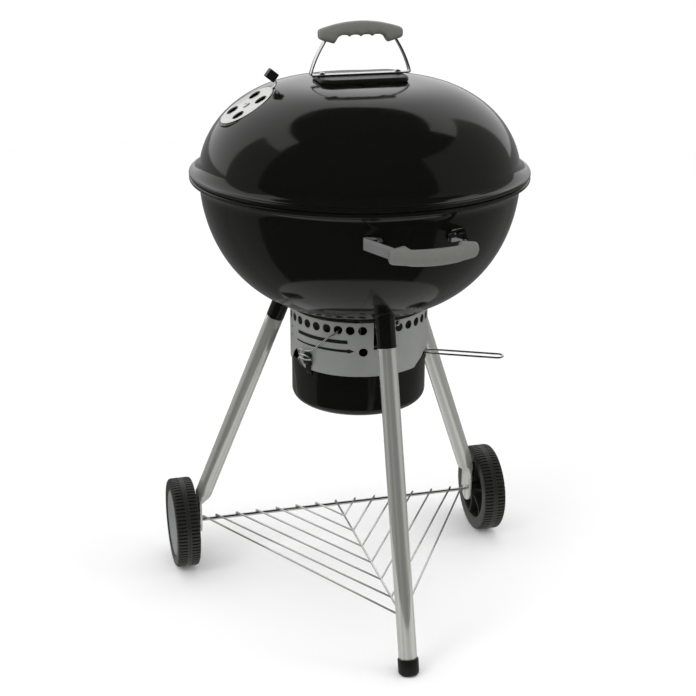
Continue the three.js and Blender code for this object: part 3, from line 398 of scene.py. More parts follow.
def make_leg_finish():
    """Rolled bright tube: fine draw lines and broader bands that run along its length."""
    nodes = Nodes("leg_tube", (0.6, 0.605, 0.565), 0.17, 0.7)
    lengthwise = (1, 0.02, 1)
    broad, fine = nodes.noise(9, 3, lengthwise, "UV"), nodes.noise(60, 2, lengthwise, "UV")
    nodes.vary_color(broad, 0.38)
    nodes.vary_roughness(fine, 0.4)
    nodes.bump(broad, 0.5, 0.5)
    nodes.bump(fine, 0.3, 0.03)
    return nodes.material


FINISHES = {
    "black_enamel": make_enamel(),
    "grip_plastic": make_moulded("grip_plastic", (0.14, 0.143, 0.13), 0.42, 1600, 0.04),
    "black_metal": make_moulded("black_metal", (0.0075, 0.008, 0.007), 0.34, 900, 0.03, 0.22),
    "black_plastic": make_moulded("black_plastic", (0.0075, 0.008, 0.007), 0.38, 1300, 0.05, 0.22),
    "chrome": make_metal("chrome", (0.66, 0.67, 0.66), 0.12, (1, 1, 1), 400, 0.01),
    "bright_aluminium": make_metal("bright_aluminium", (0.66, 0.67, 0.66), 0.3, (1, 1, 8), 260, 0.03,
                                   0.85, 0.08),
    "leg_tube": make_leg_finish(),
    "satin_ring": make_metal("satin_ring", (0.41, 0.42, 0.4), 0.42, (1, 1, 40), 60, 0.02,
                             0.55, 0.04, 0.15),
    "plain_steel": make_metal("plain_steel", (0.42, 0.42, 0.4), 0.35, (1, 1, 1), 300, 0.03),
    "wheel_plastic": make_moulded("wheel_plastic", (0.019, 0.019, 0.0165), 0.46, 1100, 0.05),
    "hub_cap_plastic": make_moulded("hub_cap_plastic", (0.21, 0.222, 0.212), 0.5, 1400, 0.05, 0.3),
}
RING_INK = make_moulded("ring_ink", (0.006, 0.006, 0.006), 0.5, 1200, 0.02)

node_slots = {row["node"]: row["material_slot"] for row in frame["record"]["subparts"]}


# ---- pieces
def mesh_object(name, shape, smooth_angle=35):
    mesh = bpy.data.meshes.new(name)
    mesh.from_pydata([AXIS + point * MM for point in shape[0]], [], shape[1])
    mesh.validate()
    obj = bpy.data.objects.new(name, mesh)
    bpy.context.scene.collection.objects.link(obj)
    fix_normals(obj)
    finish_shading(obj, smooth_angle)
    return obj


def fix_normals(obj):
    bpy.ops.object.select_all(action="DESELECT")
    obj.select_set(True)
    bpy.context.view_layer.objects.active = obj
    bpy.ops.object.mode_set(mode="EDIT")
    bpy.ops.mesh.select_all(action="SELECT")
    bpy.ops.mesh.normals_make_consistent(inside=False)
    bpy.ops.object.mode_set(mode="OBJECT")


def finish_shading(obj, smooth_angle):
    obj.data.shade_smooth()
    obj.data.set_sharp_from_angle(angle=math.radians(smooth_angle))


def combine(obj, operation, *shapes):
    """Cuts shapes out of a piece or adds them to it."""
    for index, shape in enumerate(shapes):
        other = mesh_object(f"{obj.name}_{operation}_{index}", shape)
        modifier = obj.modifiers.new("combine", "BOOLEAN")
        modifier.operation = operation
        modifier.solver = "EXACT"
        modifier.object = other
        bpy.context.view_layer.update()
        result = bpy.data.meshes.new_from_object(obj.evaluated_get(bpy.context.evaluated_depsgraph_get()))
        obj.modifiers.clear()
        obj.data = result
        bpy.data.objects.remove(other)
    return obj


def dress(obj, node, replaced=None, material=None):
    """Gives a piece the finish of its node's slot, or the material given, and its node's body, and hides the
    CAD nodes that it stands for.
    """
    slot = node_slots[node]
    obj.data.materials.clear()
    obj.data.materials.append(material or FINISHES[slot])
    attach(obj, frame["nodes"][node]["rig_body"])
    names = (node,) if replaced is None else replaced
    if names:
        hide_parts(*names)
    return obj


def wrap_lengthwise(obj, start, end):
    """UV map of a tube: u goes once round it, v runs along it in metres."""
    layer = obj.data.uv_layers.new(name="lengthwise")
    top = AXIS + start * MM
    to_tube = aimed(top, end - start).inverted()
    for face in obj.data.polygons:
        local = [to_tube @ obj.data.vertices[i].co for i in face.vertices]
        turns = [math.atan2(point.y, point.x) / TAU for point in local]
        if max(turns) - min(turns) > 0.5:
            turns = [turn + 1 if turn < 0 else turn for turn in turns]
        for corner, turn, point in zip(face.loop_indices, turns, local):
            layer.data[corner].uv = (turn, point.z)


def piece(name, shape, node, smooth_angle=35, replaced=None, material=None):
    return dress(mesh_object(name, shape, smooth_angle), node, replaced, material)


# ---- kettle shells
def shell_height(radius, rise, side_power, pole_power):
    sine = min(1.0, (radius / WALL_R) ** (side_power / 2))
    return rise * math.sqrt(1 - sine * sine) ** (2 / pole_power)


def bowl_height(radius):
    return shell_height(radius, BOWL_DEPTH, BOWL_SIDE_POWER, BOWL_BASE_POWER)


def lid_height(radius):
    def side(r):
        return shell_height(r, LID_RISE, LID_SIDE_POWER, LID_TOP_POWER)

    if radius >= LID_CROWN_R:
        return side(radius)
    edge_slope = side(LID_CROWN_R) - side(LID_CROWN_R + 1)
    crown_rise = edge_slope * LID_CROWN_R / LID_CROWN_POWER
    return side(LID_CROWN_R) + crown_rise * (1 - (radius / LID_CROWN_R) ** LID_CROWN_POWER)


def bowl_radius(z):
    cosine = ((RIM_Z - z) / BOWL_DEPTH) ** (BOWL_BASE_POWER / 2)
    return WALL_R * math.sqrt(1 - cosine * cosine) ** (2 / BOWL_SIDE_POWER)


def wall_curve(rise, side_power, pole_power, height_at):
    """Outer wall from the pole to the start of the flange, as (radius, height from the rim)."""
    end_angle = math.acos((FLANGE_RISE / rise) ** (pole_power / 2))
    curve = []
    for i in range(SHELL_STEPS + 1):
        radius = WALL_R * math.sin(end_angle * i / SHELL_STEPS) ** (2 / side_power)
        curve.append((radius, height_at(radius)))
    return curve


def inset_curve(curve, depth):
    """Curve moved inwards along its own normal; its ends keep to the axis."""
    result = []
    for i, (radius, height) in enumerate(curve):
        before, after = curve[max(i - 1, 0)], curve[min(i + 1, len(curve) - 1)]
        run, drop = after[0] - before[0], after[1] - before[1]
        length = math.hypot(run, drop)
        result.append((max(0.0, radius + drop / length * depth), height - run / length * depth))
    result[0] = (0.0, curve[0][1] - depth)
    return result


def bezier(p0, p1, p2, p3, steps):
    points = []
    for i in range(steps + 1):
        t = i / steps
        weights = ((1 - t) ** 3, 3 * t * (1 - t) ** 2, 3 * t * t * (1 - t), t ** 3)
        points.append(tuple(sum(w * p[axis] for w, p in zip(weights, (p0, p1, p2, p3))) for axis in (0, 1)))
    return points


def shell_shape(side, curve):
    """Pressed shell with a flared skirt that ends in a rolled bead at the rim."""
    wall_end = curve[-1]
    bead_r = FLANGE_R - 0.05 - BEAD_R
    bead_h = GAP / 2 + BEAD_R
    top_of_bead = (bead_r - 0.4, bead_h + BEAD_R)
    flare = bezier(wall_end, (wall_end[0] + 0.5, 15.5), (243.5, bead_h + BEAD_R + 1.5), top_of_bead, 12)
    inner = inset_curve(curve + flare[1:], SHEET)
    bead = []
    for i in range(1, 17):
        angle = math.radians(90 - 255 * i / 16)
        bead.append((bead_r + BEAD_R * math.cos(angle), bead_h + BEAD_R * math.sin(angle)))
    inner = [point for point in inner if point[0] < bead_r - BEAD_R - 0.3]
    profile = curve + flare[1:] + bead + inner[::-1]
    return revolve([(r, RIM_Z + side * h) for r, h in profile], SHELL_TURNS)


def true_normals(obj, side, height_at, wall_end):
    """Sets the exact normal of the shell's outer face, so that the cuts leave no dents in its shine."""
    mesh = obj.data
    normals = [Vector(corner.vector) for corner in mesh.corner_normals]
    for face in mesh.polygons:
        local = (face.center - AXIS) / MM
        radius = math.hypot(local.x, local.y)
        height = side * (local.z - RIM_Z)
        if not 1 < radius < wall_end or abs(height_at(radius) - height) > 0.8:
            continue
        for corner in face.loop_indices:
            point = (mesh.vertices[mesh.loops[corner].vertex_index].co - AXIS) / MM
            r = min(math.hypot(point.x, point.y), wall_end)
            if r < 1:
                normals[corner] = Vector((0, 0, side))
                continue
            slope = (height_at(r + 0.05) - height_at(r - 0.05)) / 0.1
            normals[corner] = Vector((-slope * point.x / r, -slope * point.y / r, side)).normalized()
    mesh.normals_split_custom_set(normals)


lid_curve = wall_curve(LID_RISE, LID_SIDE_POWER, LID_TOP_POWER, lid_height)
bowl_curve = wall_curve(BOWL_DEPTH, BOWL_SIDE_POWER, BOWL_BASE_POWER, bowl_height)

# damper frame on the lid
damper_out = polar(1, DAMPER_AZIMUTH)
lid_slope = (lid_height(DAMPER_REACH + 1) - lid_height(DAMPER_REACH - 1)) / 2
damper_normal = (Z_AXIS - damper_out * lid_slope).normalized()
damper_centre = damper_out * DAMPER_REACH + Vector((0, 0, RIM_Z + lid_height(DAMPER_REACH)))
damper_across = Z_AXIS.cross(damper_out).normalized()
damper_uphill = damper_normal.cross(damper_across).normalized()
damper_frame = basis(damper_centre, damper_uphill, -damper_across, damper_normal)
seat_top = DAMPER_LIFT - GAP
damper_top = DAMPER_LIFT + DAMPER_THICK


def disc(radius, low, high, edge=0.0, turns=64):
    profile = [(0, low), (radius - edge, low), (radius, low + edge), (radius, high - edge),
               (radius - edge * 0.3, high - edge * 0.3), (radius - edge, high), (0, high)]
    if not edge:
        profile = [(0, low), (radius, low), (radius, high), (0, high)]
    return revolve(profile, turns)


def hole_at(centre, radius, low, high, turns=40):
    return moved(disc(radius, low, high, turns=turns), Matrix.Translation(centre))


damper_holes = [polar(DAMPER_HOLE_PITCH_R, angle) for angle in (45, 135, 225, 315)]
lid = mesh_object("kettle_lid", shell_shape(1, lid_curve), 40)
combine(lid, "DIFFERENCE", moved(disc(DAMPER_SEAT_R, seat_top, 20, turns=96), damper_frame))
combine(lid, "UNION", moved(disc(DAMPER_SEAT_R + 1.5, seat_top - SHEET, seat_top, turns=96), damper_frame))
hole_cutters = [moved(hole_at(centre, DAMPER_HOLE_R, -14, 6), damper_frame) for centre in damper_holes]
bolt_cutters = [hole_at(Vector((side * BOLT_OFFSET, 0, 0)), 2.9, LID_HANDLE_Z - 25, LID_HANDLE_Z, 20)
                for side in (-1, 1)]
combine(lid, "DIFFERENCE", join(*hole_cutters, *bolt_cutters))
finish_shading(lid, 35)
true_normals(lid, 1, lid_height, lid_curve[-1][0] + 0.01)
dress(lid, "lid")

bowl = mesh_object("kettle_bowl", shell_shape(-1, bowl_curve), 40)


def plan_sector(start, end, inner_r, outer_r, low, high):
    azimuths = spread(start, end, 14)
    outline = [polar(outer_r, a) for a in azimuths] + [polar(inner_r, a) for a in reversed(azimuths)]
    return loft([[p + Vector((0, 0, z)) for p in outline] for z in (low, high)])


VENT_AZIMUTHS, VENT_HALF_ANGLE, VENT_INNER_R, VENT_OUTER_R = (30, 150, 270), 17, 34, 88
SHAFT_HOLE_R = 4.5
vents = [plan_sector(a - VENT_HALF_ANGLE, a + VENT_HALF_ANGLE, VENT_INNER_R, VENT_OUTER_R, 470, 505)
         for a in VENT_AZIMUTHS]
shaft_hole = hole_at(ORIGIN, SHAFT_HOLE_R, 468, 495, 32)
combine(bowl, "DIFFERENCE", join(*vents, shaft_hole))
finish_shading(bowl, 35)
true_normals(bowl, -1, bowl_height, bowl_curve[-1][0] + 0.01)
dress(bowl, "bowl")

# ---- lid damper
damper = mesh_object("damper_disc", moved(disc(DAMPER_R, DAMPER_LIFT, damper_top, 0.35, 96), damper_frame))
combine(damper, "DIFFERENCE", join(*hole_cutters))
finish_shading(damper, 30)
stem_path = [Vector((DAMPER_R - 6, 0, damper_top - 0.5)), Vector((DAMPER_R + 6, 0, damper_top - 0.5)),
             Vector((DAMPER_R + 10, 0, damper_top + 3)), Vector((DAMPER_R + 10, 0, 5))]
stem = moved(strip(fillet_path(stem_path, 3), Y_AXIS, 7, 1.4), damper_frame)
hole_lips = [moved(revolve([(DAMPER_HOLE_R + 0.1, damper_top - 0.1), (DAMPER_HOLE_R + 0.2, damper_top + 0.35),
                            (DAMPER_HOLE_R + 0.9, damper_top + 0.5), (DAMPER_HOLE_R + 1.8, damper_top - 0.1)],
                           40, closed=True), damper_frame @ Matrix.Translation(centre))
             for centre in damper_holes]
dress(damper, "lid_damper")
piece("damper_stem", stem, "lid_damper", replaced=())
piece("damper_hole_lips", join(*hole_lips), "lid_damper", replaced=())
rivet_profile = [(0, -8), (3, -8), (3, damper_top + 0.1), (6.2, damper_top + 0.1), (6.2, damper_top + 0.5),
                 (5.4, damper_top + 1.3), (3.6, damper_top + 1.9), (1.9, damper_top + 2.1),
                 (1.5, damper_top + 1.5), (0, damper_top + 1.4)]
piece("damper_rivet", moved(revolve(rivet_profile, 40), damper_frame), "lid_damper_rivet", 40)

TAB_LEAN, TAB_HALF_X, TAB_HALF_Y, TAB_HALF_Z, TAB_CORNER = 20, 7, 7.5, 7.5, 1.7
tab_rings = [rounded_rectangle(TAB_HALF_X - inset, TAB_HALF_Y - inset, TAB_CORNER, z, 4)
             for z, inset in ((-TAB_HALF_Z, 1.6), (0.2 - TAB_HALF_Z, 0.7), (1 - TAB_HALF_Z, 0.0),
                              (TAB_HALF_Z - 1, 0.0), (TAB_HALF_Z - 0.2, 0.7), (TAB_HALF_Z, 1.6))]
tab_lean = Matrix.Translation((DAMPER_R + 9.4, 0, 12.2)) @ Matrix.Rotation(math.radians(-TAB_LEAN), 4, "Y")
piece("damper_knob", moved(loft(tab_rings), damper_frame @ tab_lean), "lid_damper_tab", 30)


# ---- handles
def grip_top(x):
    return GRIP_RISE - 8.2 * (x / 54) ** 2


def grip_bottom(x, hollows):
    """Underside: a thick foot at each end, and four finger hollows between them where asked for."""
    x = abs(x)
    if x >= 41:
        return 46 + (x - 41) * 0.3
    if x >= 33:
        t = (x - 33) / 8
        return 55.4 - 9.4 * t * t * (3 - 2 * t)
    if not hollows:
        return 56.8 - 1.4 * (x / 33) ** 2
    centre, half = (8.5, 8.5) if x < 17 else (25, 8)
    ridge = ((x - centre) / half) ** 2
    return 57.6 - 2.6 * min(1.0, ridge) ** 1.5


def grip_shape(hollows=True):
    rings = []
    run = GRIP_HALF - GRIP_END
    stations = [-GRIP_HALF + GRIP_END * (1 - math.cos(math.pi / 2 * i / 6)) for i in range(7)]
    stations += [-run + i for i in range(1, int(2 * run))]
    stations += [-s for s in reversed(stations[:7])]
    for x in stations:
        end = max(0.0, (abs(x) - run) / GRIP_END)
        soft = math.sqrt(max(0.0, 1 - end * end))
        top, bottom = grip_top(x), grip_bottom(x, hollows)
        middle = (top + bottom) / 2
        half_height = (top - bottom) / 2 * (0.8 + 0.2 * soft)
        half_width = GRIP_DEPTH / 2 * (0.62 + 0.38 * soft)
        section = superellipse(half_width, half_height, 2.7, 32)
        rings.append([Vector((x, a, middle + b)) for a, b in section])
    return loft(rings)


def bolt_shape(offset, head_z, shank_z):
    profile = [(0, shank_z), (2.5, shank_z), (2.5, head_z), (4.7, head_z), (4.7, head_z + 0.6),
               (4.3, head_z + 1.5), (3.3, head_z + 2.4), (1.8, head_z + 3.0), (0, head_z + 3.2)]
    return moved(revolve(profile, 28), Matrix.Translation((offset, 0, 0)))


lid_frame = Matrix.Translation((0, 0, LID_HANDLE_Z))
SHIELD_HALF_X, SHIELD_HALF_Y, SHIELD_CORNER = 66, 42, 20
# heat shield tray, as (inset, z): down the outside to its rim, then up the inside
shield_levels = ((5, 0), (2.6, -0.1), (1.1, -0.8), (0.3, -2.0), (0, -3.2), (0, -6.2), (0.4, -6.75),
                 (1.1, -6.75), (1.5, -6.2), (1.5, -3.4), (2.2, -2.0), (3.4, -1.5), (6, -1.5))
shield_rings = [rounded_rectangle(SHIELD_HALF_X - inset, SHIELD_HALF_Y - inset, SHIELD_CORNER - inset * 0.8, z)
                for inset, z in shield_levels]
piece("heat_shield", moved(loft(shield_rings), lid_frame), "lid_heat_shield", 50)

strap_base_z = GAP + STRAP_THICK / 2
strap_top_z = GRIP_FOOT + 2
strap_slope = (STRAP_BASE_HALF - STRAP_TOP_HALF) / (GRIP_FOOT - strap_base_z)
strap_top_x = STRAP_TOP_HALF - strap_slope * 2


def strut(side):
    """Leg of the strap from its foot up to the grip, slightly bowed outwards."""
    foot_point = Vector((side * STRAP_BASE_HALF, 0, strap_base_z))
    head_point = Vector((side * strap_top_x, 0, strap_top_z))
    return [foot_point.lerp(head_point, t) + Vector((side * 10 * t * (1 - t), 0, 0)) for t in spread(0, 1, 8)]


strap_path = fillet_path(strut(-1)[::-1] + strut(1), 4)
piece("lid_strap", moved(strip(strap_path, Y_AXIS, STRAP_WIDE, STRAP_THICK), lid_frame), "lid_handle_strap", 40)
piece("lid_grip", moved(grip_shape(), lid_frame), "lid_handle_grip", 60)
for name, side in (("left", -1), ("right", 1)):
    bolt = bolt_shape(side * BOLT_OFFSET, strap_base_z + STRAP_THICK / 2 + 0.05, -14)
    piece(f"lid_bolt_{name}", moved(bolt, lid_frame), f"lid_handle_bolt_{name}", 50)

side_out = polar(1, SIDE_HANDLE_AZIMUTH)
side_along = polar(1, SIDE_HANDLE_AZIMUTH + 90)
side_base_r = bowl_radius(SIDE_HANDLE_Z + SIDE_STRAP_WIDE / 2) + GAP
side_base = side_out * side_base_r + Vector((0, 0, SIDE_HANDLE_Z))
side_frame = basis(side_base, side_along, side_out.cross(side_along), side_out)
foot_r = side_base_r + STRAP_THICK / 2
for name, side in (("left", -1), ("right", 1)):
    foot = [Vector((side * x, 0, math.sqrt(foot_r ** 2 - x * x) - foot_r + STRAP_THICK / 2))
            for x in spread(SIDE_FOOT_START, STRAP_BASE_HALF, 10)]
    lead = [foot[0].lerp(foot[1], t) for t in (0.0, 0.25, 0.5, 0.75)]
    leg_end = Vector((side * (STRAP_TOP_HALF - 2), 0, GRIP_FOOT + 7))
    path = lead + foot[1:-3] + fillet_path([foot[-3], foot[-1], leg_end], 6)
    bracket = strip(path, Y_AXIS, SIDE_STRAP_WIDE, STRAP_THICK, round_start=SIDE_STRAP_WIDE / 2)
    piece(f"side_bracket_{name}", moved(bracket, side_frame), f"side_handle_bracket_{name}", 40)
    at_bolt = math.sqrt(foot_r ** 2 - BOLT_OFFSET ** 2) - foot_r + STRAP_THICK
    lean = Matrix.Rotation(side * math.asin(BOLT_OFFSET / foot_r), 4, "Y")
    bolt_frame = side_frame @ Matrix.Translation((side * BOLT_OFFSET, 0, at_bolt + 0.1)) @ lean
    piece(f"side_bolt_{name}", moved(bolt_shape(0, 0, -12), bolt_frame), f"side_handle_bolt_{name}", 50)
grip_pivot = GRIP_FOOT + 10
twist = (Matrix.Translation((0, 0, grip_pivot + 4)) @ Matrix.Rotation(math.radians(SIDE_GRIP_TWIST), 4, "X")
         @ Matrix.Translation((0, 0, -grip_pivot)))
piece("side_grip", moved(grip_shape(hollows=False), side_frame @ twist), "side_handle_grip", 60)


# ---- legs
def bowl_hit(origin, direction):
    """Distance along a line to the bowl's outer face."""
    low, high = -80.0, 200.0
    for _ in range(50):
        middle = (low + high) / 2
        point = origin + direction * middle
        radius = math.hypot(point.x, point.y)
        inside = point.z > RIM_Z - bowl_height(radius)
        low, high = (low, middle) if inside else (middle, high)
    return low


LEG_SIDES = 48


def socket_shape(top, foot, drop):
    """Black socket welded to the bowl: its upper edge follows the bowl, its lower end holds the tube."""
    down = (foot - top).normalized()
    to_leg = aimed(top, down)
    turns = [360 * i / LEG_SIDES for i in range(LEG_SIDES)]
    rows = [[to_leg @ polar(radius, angle, at) for angle in turns]
            for radius, at in ((11.5, drop + 2), (SOCKET_R - 0.8, drop + 0.3), (SOCKET_R - 0.2, drop - 0.2),
                               (SOCKET_R, drop - 1))]
    for radius, back in ((SOCKET_R, 5), (SOCKET_R + 0.6, 2.2), (SOCKET_R + 2.4, 0.2), (11, 0.2)):
        starts = [to_leg @ polar(radius, angle) for angle in turns]
        rows.append([start - down * (bowl_hit(start, -down) - back) for start in starts])
    return loft(rows, loop=True)


def straight_tube(start, end, radius, bore):
    length = (end - start).length
    profile = [(bore, 0), (bore + 0.3, 0), (radius - 0.35, 0), (radius, 0.5), (radius, length - 0.5),
               (radius - 0.35, length), (bore, length)]
    return moved(revolve(profile, LEG_SIDES, closed=True), aimed(start, end - start))


piece("socket_front", socket_shape(FRONT_LEG_TOP, FRONT_LEG_FOOT, FRONT_SOCKET_DROP), "leg_socket_front", 40)
front_up = (FRONT_LEG_TOP - FRONT_LEG_FOOT).normalized()
front_start = FRONT_LEG_TOP - front_up * (FRONT_SOCKET_DROP + GAP)
front_end = FRONT_LEG_FOOT + front_up * 7
front_shape = straight_tube(front_start, front_end, TUBE_R, TUBE_BORE_R)
front_tube = piece("leg_tube_front", front_shape, "leg_front", 40)
wrap_lengthwise(front_tube, FRONT_LEG_TOP, FRONT_LEG_FOOT)

cap_profile = [(0, 7.2), (9, 7.3), (13, 8.6), (14.7, 10.8), (FOOT_CAP_R, 14), (FOOT_CAP_R, 32),
               (FOOT_CAP_R - 0.3, 32.9), (FOOT_CAP_R - 1.2, 33.2), (TUBE_R + 0.15, 33.2),
               (TUBE_R + 0.15, 16.7), (0, 16.7)]
foot_matrix = aimed(FRONT_LEG_FOOT - front_up * 10, front_up)
cap_points, cap_faces = moved(revolve(cap_profile, 56), foot_matrix)
cap_points = [Vector((p.x, p.y, max(p.z, 0.05))) for p in cap_points]
piece("foot_end", (cap_points, cap_faces), "foot_cap", 40)


def rear_leg_shape():
    """Round tube that bends upright near its foot and is pressed into a flat tongue for the axle."""
    down = (REAR_LEG_AIM - REAR_LEG_TOP).normalized()
    bend_share = (REAR_LEG_TOP.z - REAR_LEG_BEND_Z) / (REAR_LEG_TOP.z - REAR_LEG_AIM.z)
    bend = REAR_LEG_TOP.lerp(REAR_LEG_AIM, bend_share)
    across = (Y_AXIS - down * down.y).normalized()
    third = down.cross(across)
    flat_third = (-Z_AXIS).cross(Y_AXIS)
    half_wide, half_thick = TONGUE_WIDE / 2, TONGUE_THICK / 2
    rings = []

    def ring(centre, u, v, half_u, half_v, power):
        rings.append([centre + u * a + v * b for a, b in superellipse(half_u, half_v, power, LEG_SIDES)])

    start = REAR_LEG_TOP + down * (REAR_SOCKET_DROP + GAP)
    ring(start, across, third, TUBE_R - 0.35, TUBE_R - 0.35, 2)
    ring(start + down * 0.5, across, third, TUBE_R, TUBE_R, 2)
    span = (bend - start).length
    for t in (0.05, 0.5, 0.97):
        ring(start + down * span * t, across, third, TUBE_R, TUBE_R, 2)
    tongue_centre = Vector((TONGUE_X, AXLE_Y, TONGUE_TOP_Z))
    for t in spread(0, 1, 8):
        ease = t * t * (3 - 2 * t)
        u = across.lerp(Y_AXIS, ease).normalized()
        v = third.lerp(flat_third, ease).normalized()
        ring(bend.lerp(tongue_centre, t), u, v, TUBE_R + (half_wide - TUBE_R) * ease,
             TUBE_R + (half_thick - TUBE_R) * ease, 2 + 5 * ease)
    for z in (95, AXLE_Z):
        ring(Vector((TONGUE_X, AXLE_Y, z)), Y_AXIS, flat_third, half_wide, half_thick, 7)
    for angle in spread(12, 84, 8):
        a = math.radians(angle)
        z = AXLE_Z - (AXLE_Z - TONGUE_BOTTOM_Z) * math.sin(a)
        ring(Vector((TONGUE_X, AXLE_Y, z)), Y_AXIS, flat_third, half_wide * math.cos(a), half_thick, 6)
    return loft(rings)


rear_leg = rear_leg_shape()
rear_socket = socket_shape(REAR_LEG_TOP, REAR_LEG_AIM, REAR_SOCKET_DROP)
SIDES = (("left", mirrored), ("right", lambda shape: shape))
for name, shape_side in SIDES:
    rear_tube = piece(f"leg_tube_rear_{name}", shape_side(rear_leg), f"leg_rear_{name}", 40)
    tube_ends, _ = shape_side(([REAR_LEG_TOP, REAR_LEG_AIM], []))
    wrap_lengthwise(rear_tube, *tube_ends)
    piece(f"socket_rear_{name}", shape_side(rear_socket), f"leg_socket_rear_{name}", 40)

# ---- wheels: profiles are (radius, x)
AXLE_TURN = Matrix.Translation((0, AXLE_Y, AXLE_Z)) @ Matrix.Rotation(math.pi / 2, 4, "Y")
RIB_COUNT, RIB_DEPTH = 76, 3.4
SPOKE_COUNT, SPOKE_START = 6, 12


def wheel_shape():
    """Tyre and rim in one moulding: ribbed shoulders beside a smooth middle band.

    The profile is (radius, x, share of the rib depth sunk between ribs).
    """
    middle, half = (WHEEL_IN_X + WHEEL_OUT_X) / 2, (WHEEL_OUT_X - WHEEL_IN_X) / 2
    tread = [(72, half - 1.4, 0.35), (73.4, half - 2.6, 0.9), (WHEEL_R - 0.3, half - 4.5, 1),
             (WHEEL_R, half - 6.5, 1), (WHEEL_R, 4.6, 1), (WHEEL_R, 3.6, 0), (WHEEL_R, 1.2, 0),
             (WHEEL_R - 0.5, 0.9, 0)]
    profile = [(13, 244, 0), (13.6, 243.8, 0), (13.8, 262, 0), (14.4, 266, 0), (16, 268, 0), (48, 268, 0),
               (50, 266, 0), (50.8, 262, 0), (51.8, WHEEL_IN_X + 2.5, 0), (53, WHEEL_IN_X + 1.2, 0),
               (62, WHEEL_IN_X + 0.6, 0), (70.5, WHEEL_IN_X + 0.8, 0)]
    profile += [(radius, middle - x, ribbed) for radius, x, ribbed in tread]
    profile += [(radius, middle + x, ribbed) for radius, x, ribbed in reversed(tread)]
    profile += [(70.5, WHEEL_OUT_X - 0.5, 0), (66, WHEEL_OUT_X - 0.1, 0), (59, WHEEL_OUT_X, 0),
                (57.2, WHEEL_OUT_X - 0.6, 0), (56.5, WHEEL_OUT_X - 1.6, 0), (56.5, HUB_CAP_SEAT_X, 0),
                (14, HUB_CAP_SEAT_X, 0), (13, HUB_CAP_SEAT_X, 0)]
    rings = []
    steps = ((0.0, 1), (0.16, 1), (0.26, 0), (0.8, 0), (0.9, 1))
    for i in range(RIB_COUNT):
        for part_turn, sunk in steps:
            angle = 360 * (i + part_turn) / RIB_COUNT
            rings.append([polar(radius - RIB_DEPTH * ribbed * sunk, angle, x) for radius, x, ribbed in profile])
    return loft(rings, loop=True)


def hub_shape():
    outer_x, bore = HUB_CAP_SEAT_X - 0.1, AXLE_R + 0.2
    return revolve([(bore, 243.8), (12.2, 243.8), (13.2, 244.6), (13.6, 262), (13.6, outer_x), (bore, outer_x)],
                   48, closed=True)


def spoke_shape(azimuth):
    """Upright web between hub and rim on the wheel's inner side."""
    rings = []
    for radius, half, low in ((12.5, 2.6, 247.5), (20, 2.0, 249.5), (38, 1.7, 250.5), (46, 2.2, 249.5),
                              (52.4, 3.4, 248.6)):
        section = ((-half, 269), (-half * 0.8, low + 0.4), (-half * 0.45, low), (half * 0.45, low),
                   (half * 0.8, low + 0.4), (half, 269))
        rings.append([Vector((radius, y, x)) for y, x in section])
    return moved(loft(rings), Matrix.Rotation(math.radians(azimuth), 4, "Z"))


cap_seat = HUB_CAP_SEAT_X + 0.15
hub_cap = revolve([(0, cap_seat), (HUB_CAP_R, cap_seat), (HUB_CAP_R + 0.2, cap_seat + 0.8),
                   (HUB_CAP_R - 0.2, cap_seat + 1.8), (HUB_CAP_R - 1.2, cap_seat + 2.3),
                   (HUB_CAP_R - 3.5, cap_seat + 2.2), (HUB_CAP_R - 5, cap_seat + 1.5),
                   (HUB_CAP_R - 12, cap_seat + 1.9), (24, cap_seat + 2.6), (20, cap_seat + 3.0),
                   (14, cap_seat + 3.2), (0, cap_seat + 3.3)], 96)
spokes = [spoke_shape(SPOKE_START + 360 / SPOKE_COUNT * i) for i in range(SPOKE_COUNT)]
wheel_parts = join(wheel_shape(), hub_shape(), *spokes)
for name, shape_side in SIDES:
    piece(f"tyre_{name}", shape_side(moved(wheel_parts, AXLE_TURN)), f"wheel_{name}", 32)
    piece(f"hub_disc_{name}", shape_side(moved(hub_cap, AXLE_TURN)), f"hub_cap_{name}", 40)

axle_profile = [(0, -AXLE_HALF), (2.4, -AXLE_HALF), (AXLE_R, 0.6 - AXLE_HALF),
                (AXLE_R, AXLE_HALF - 0.6), (2.4, AXLE_HALF), (0, AXLE_HALF)]
piece("axle_rod", moved(revolve(axle_profile, 32), AXLE_TURN), "axle", 40)

# ---- wire shelf
SHELF_WIRE_R, SHELF_PITCH, SHELF_PAIRS, SHELF_STEP = 1.6, 34.8, 6, 54.9
SHELF_NOSE_Z, SHELF_SIDE_X = 74.5, 231
axle_wire_z = AXLE_Z + AXLE_R + GAP + SHELF_WIRE_R
leg_y = FRONT_LEG_FOOT.y + (FRONT_LEG_TOP.y - FRONT_LEG_FOOT.y) * SHELF_NOSE_Z / FRONT_LEG_TOP.z
leg_lean = math.atan2(FRONT_LEG_TOP.y - FRONT_LEG_FOOT.y, FRONT_LEG_TOP.z)
nose_y = leg_y + TUBE_R / math.cos(leg_lean) + 2
back_y = AXLE_Y + AXLE_R + GAP + SHELF_WIRE_R
shelf_fall = (axle_wire_z - SHELF_NOSE_Z) / (AXLE_Y - nose_y)


def shelf_point(x, y):
    return Vector((x, y, axle_wire_z - shelf_fall * (AXLE_Y - y)))


def shelf_wire(x, front_y):
    """One wire of the V: from the middle of the shelf back over the axle, with its end turned down."""
    hook = [Vector((x, back_y - 2.2, axle_wire_z)), Vector((x, back_y, axle_wire_z - 2)),
            Vector((x, back_y, axle_wire_z - 7))]
    return tube([shelf_point(0, front_y)] + fillet_path(hook, 2, 4), SHELF_WIRE_R, 10)


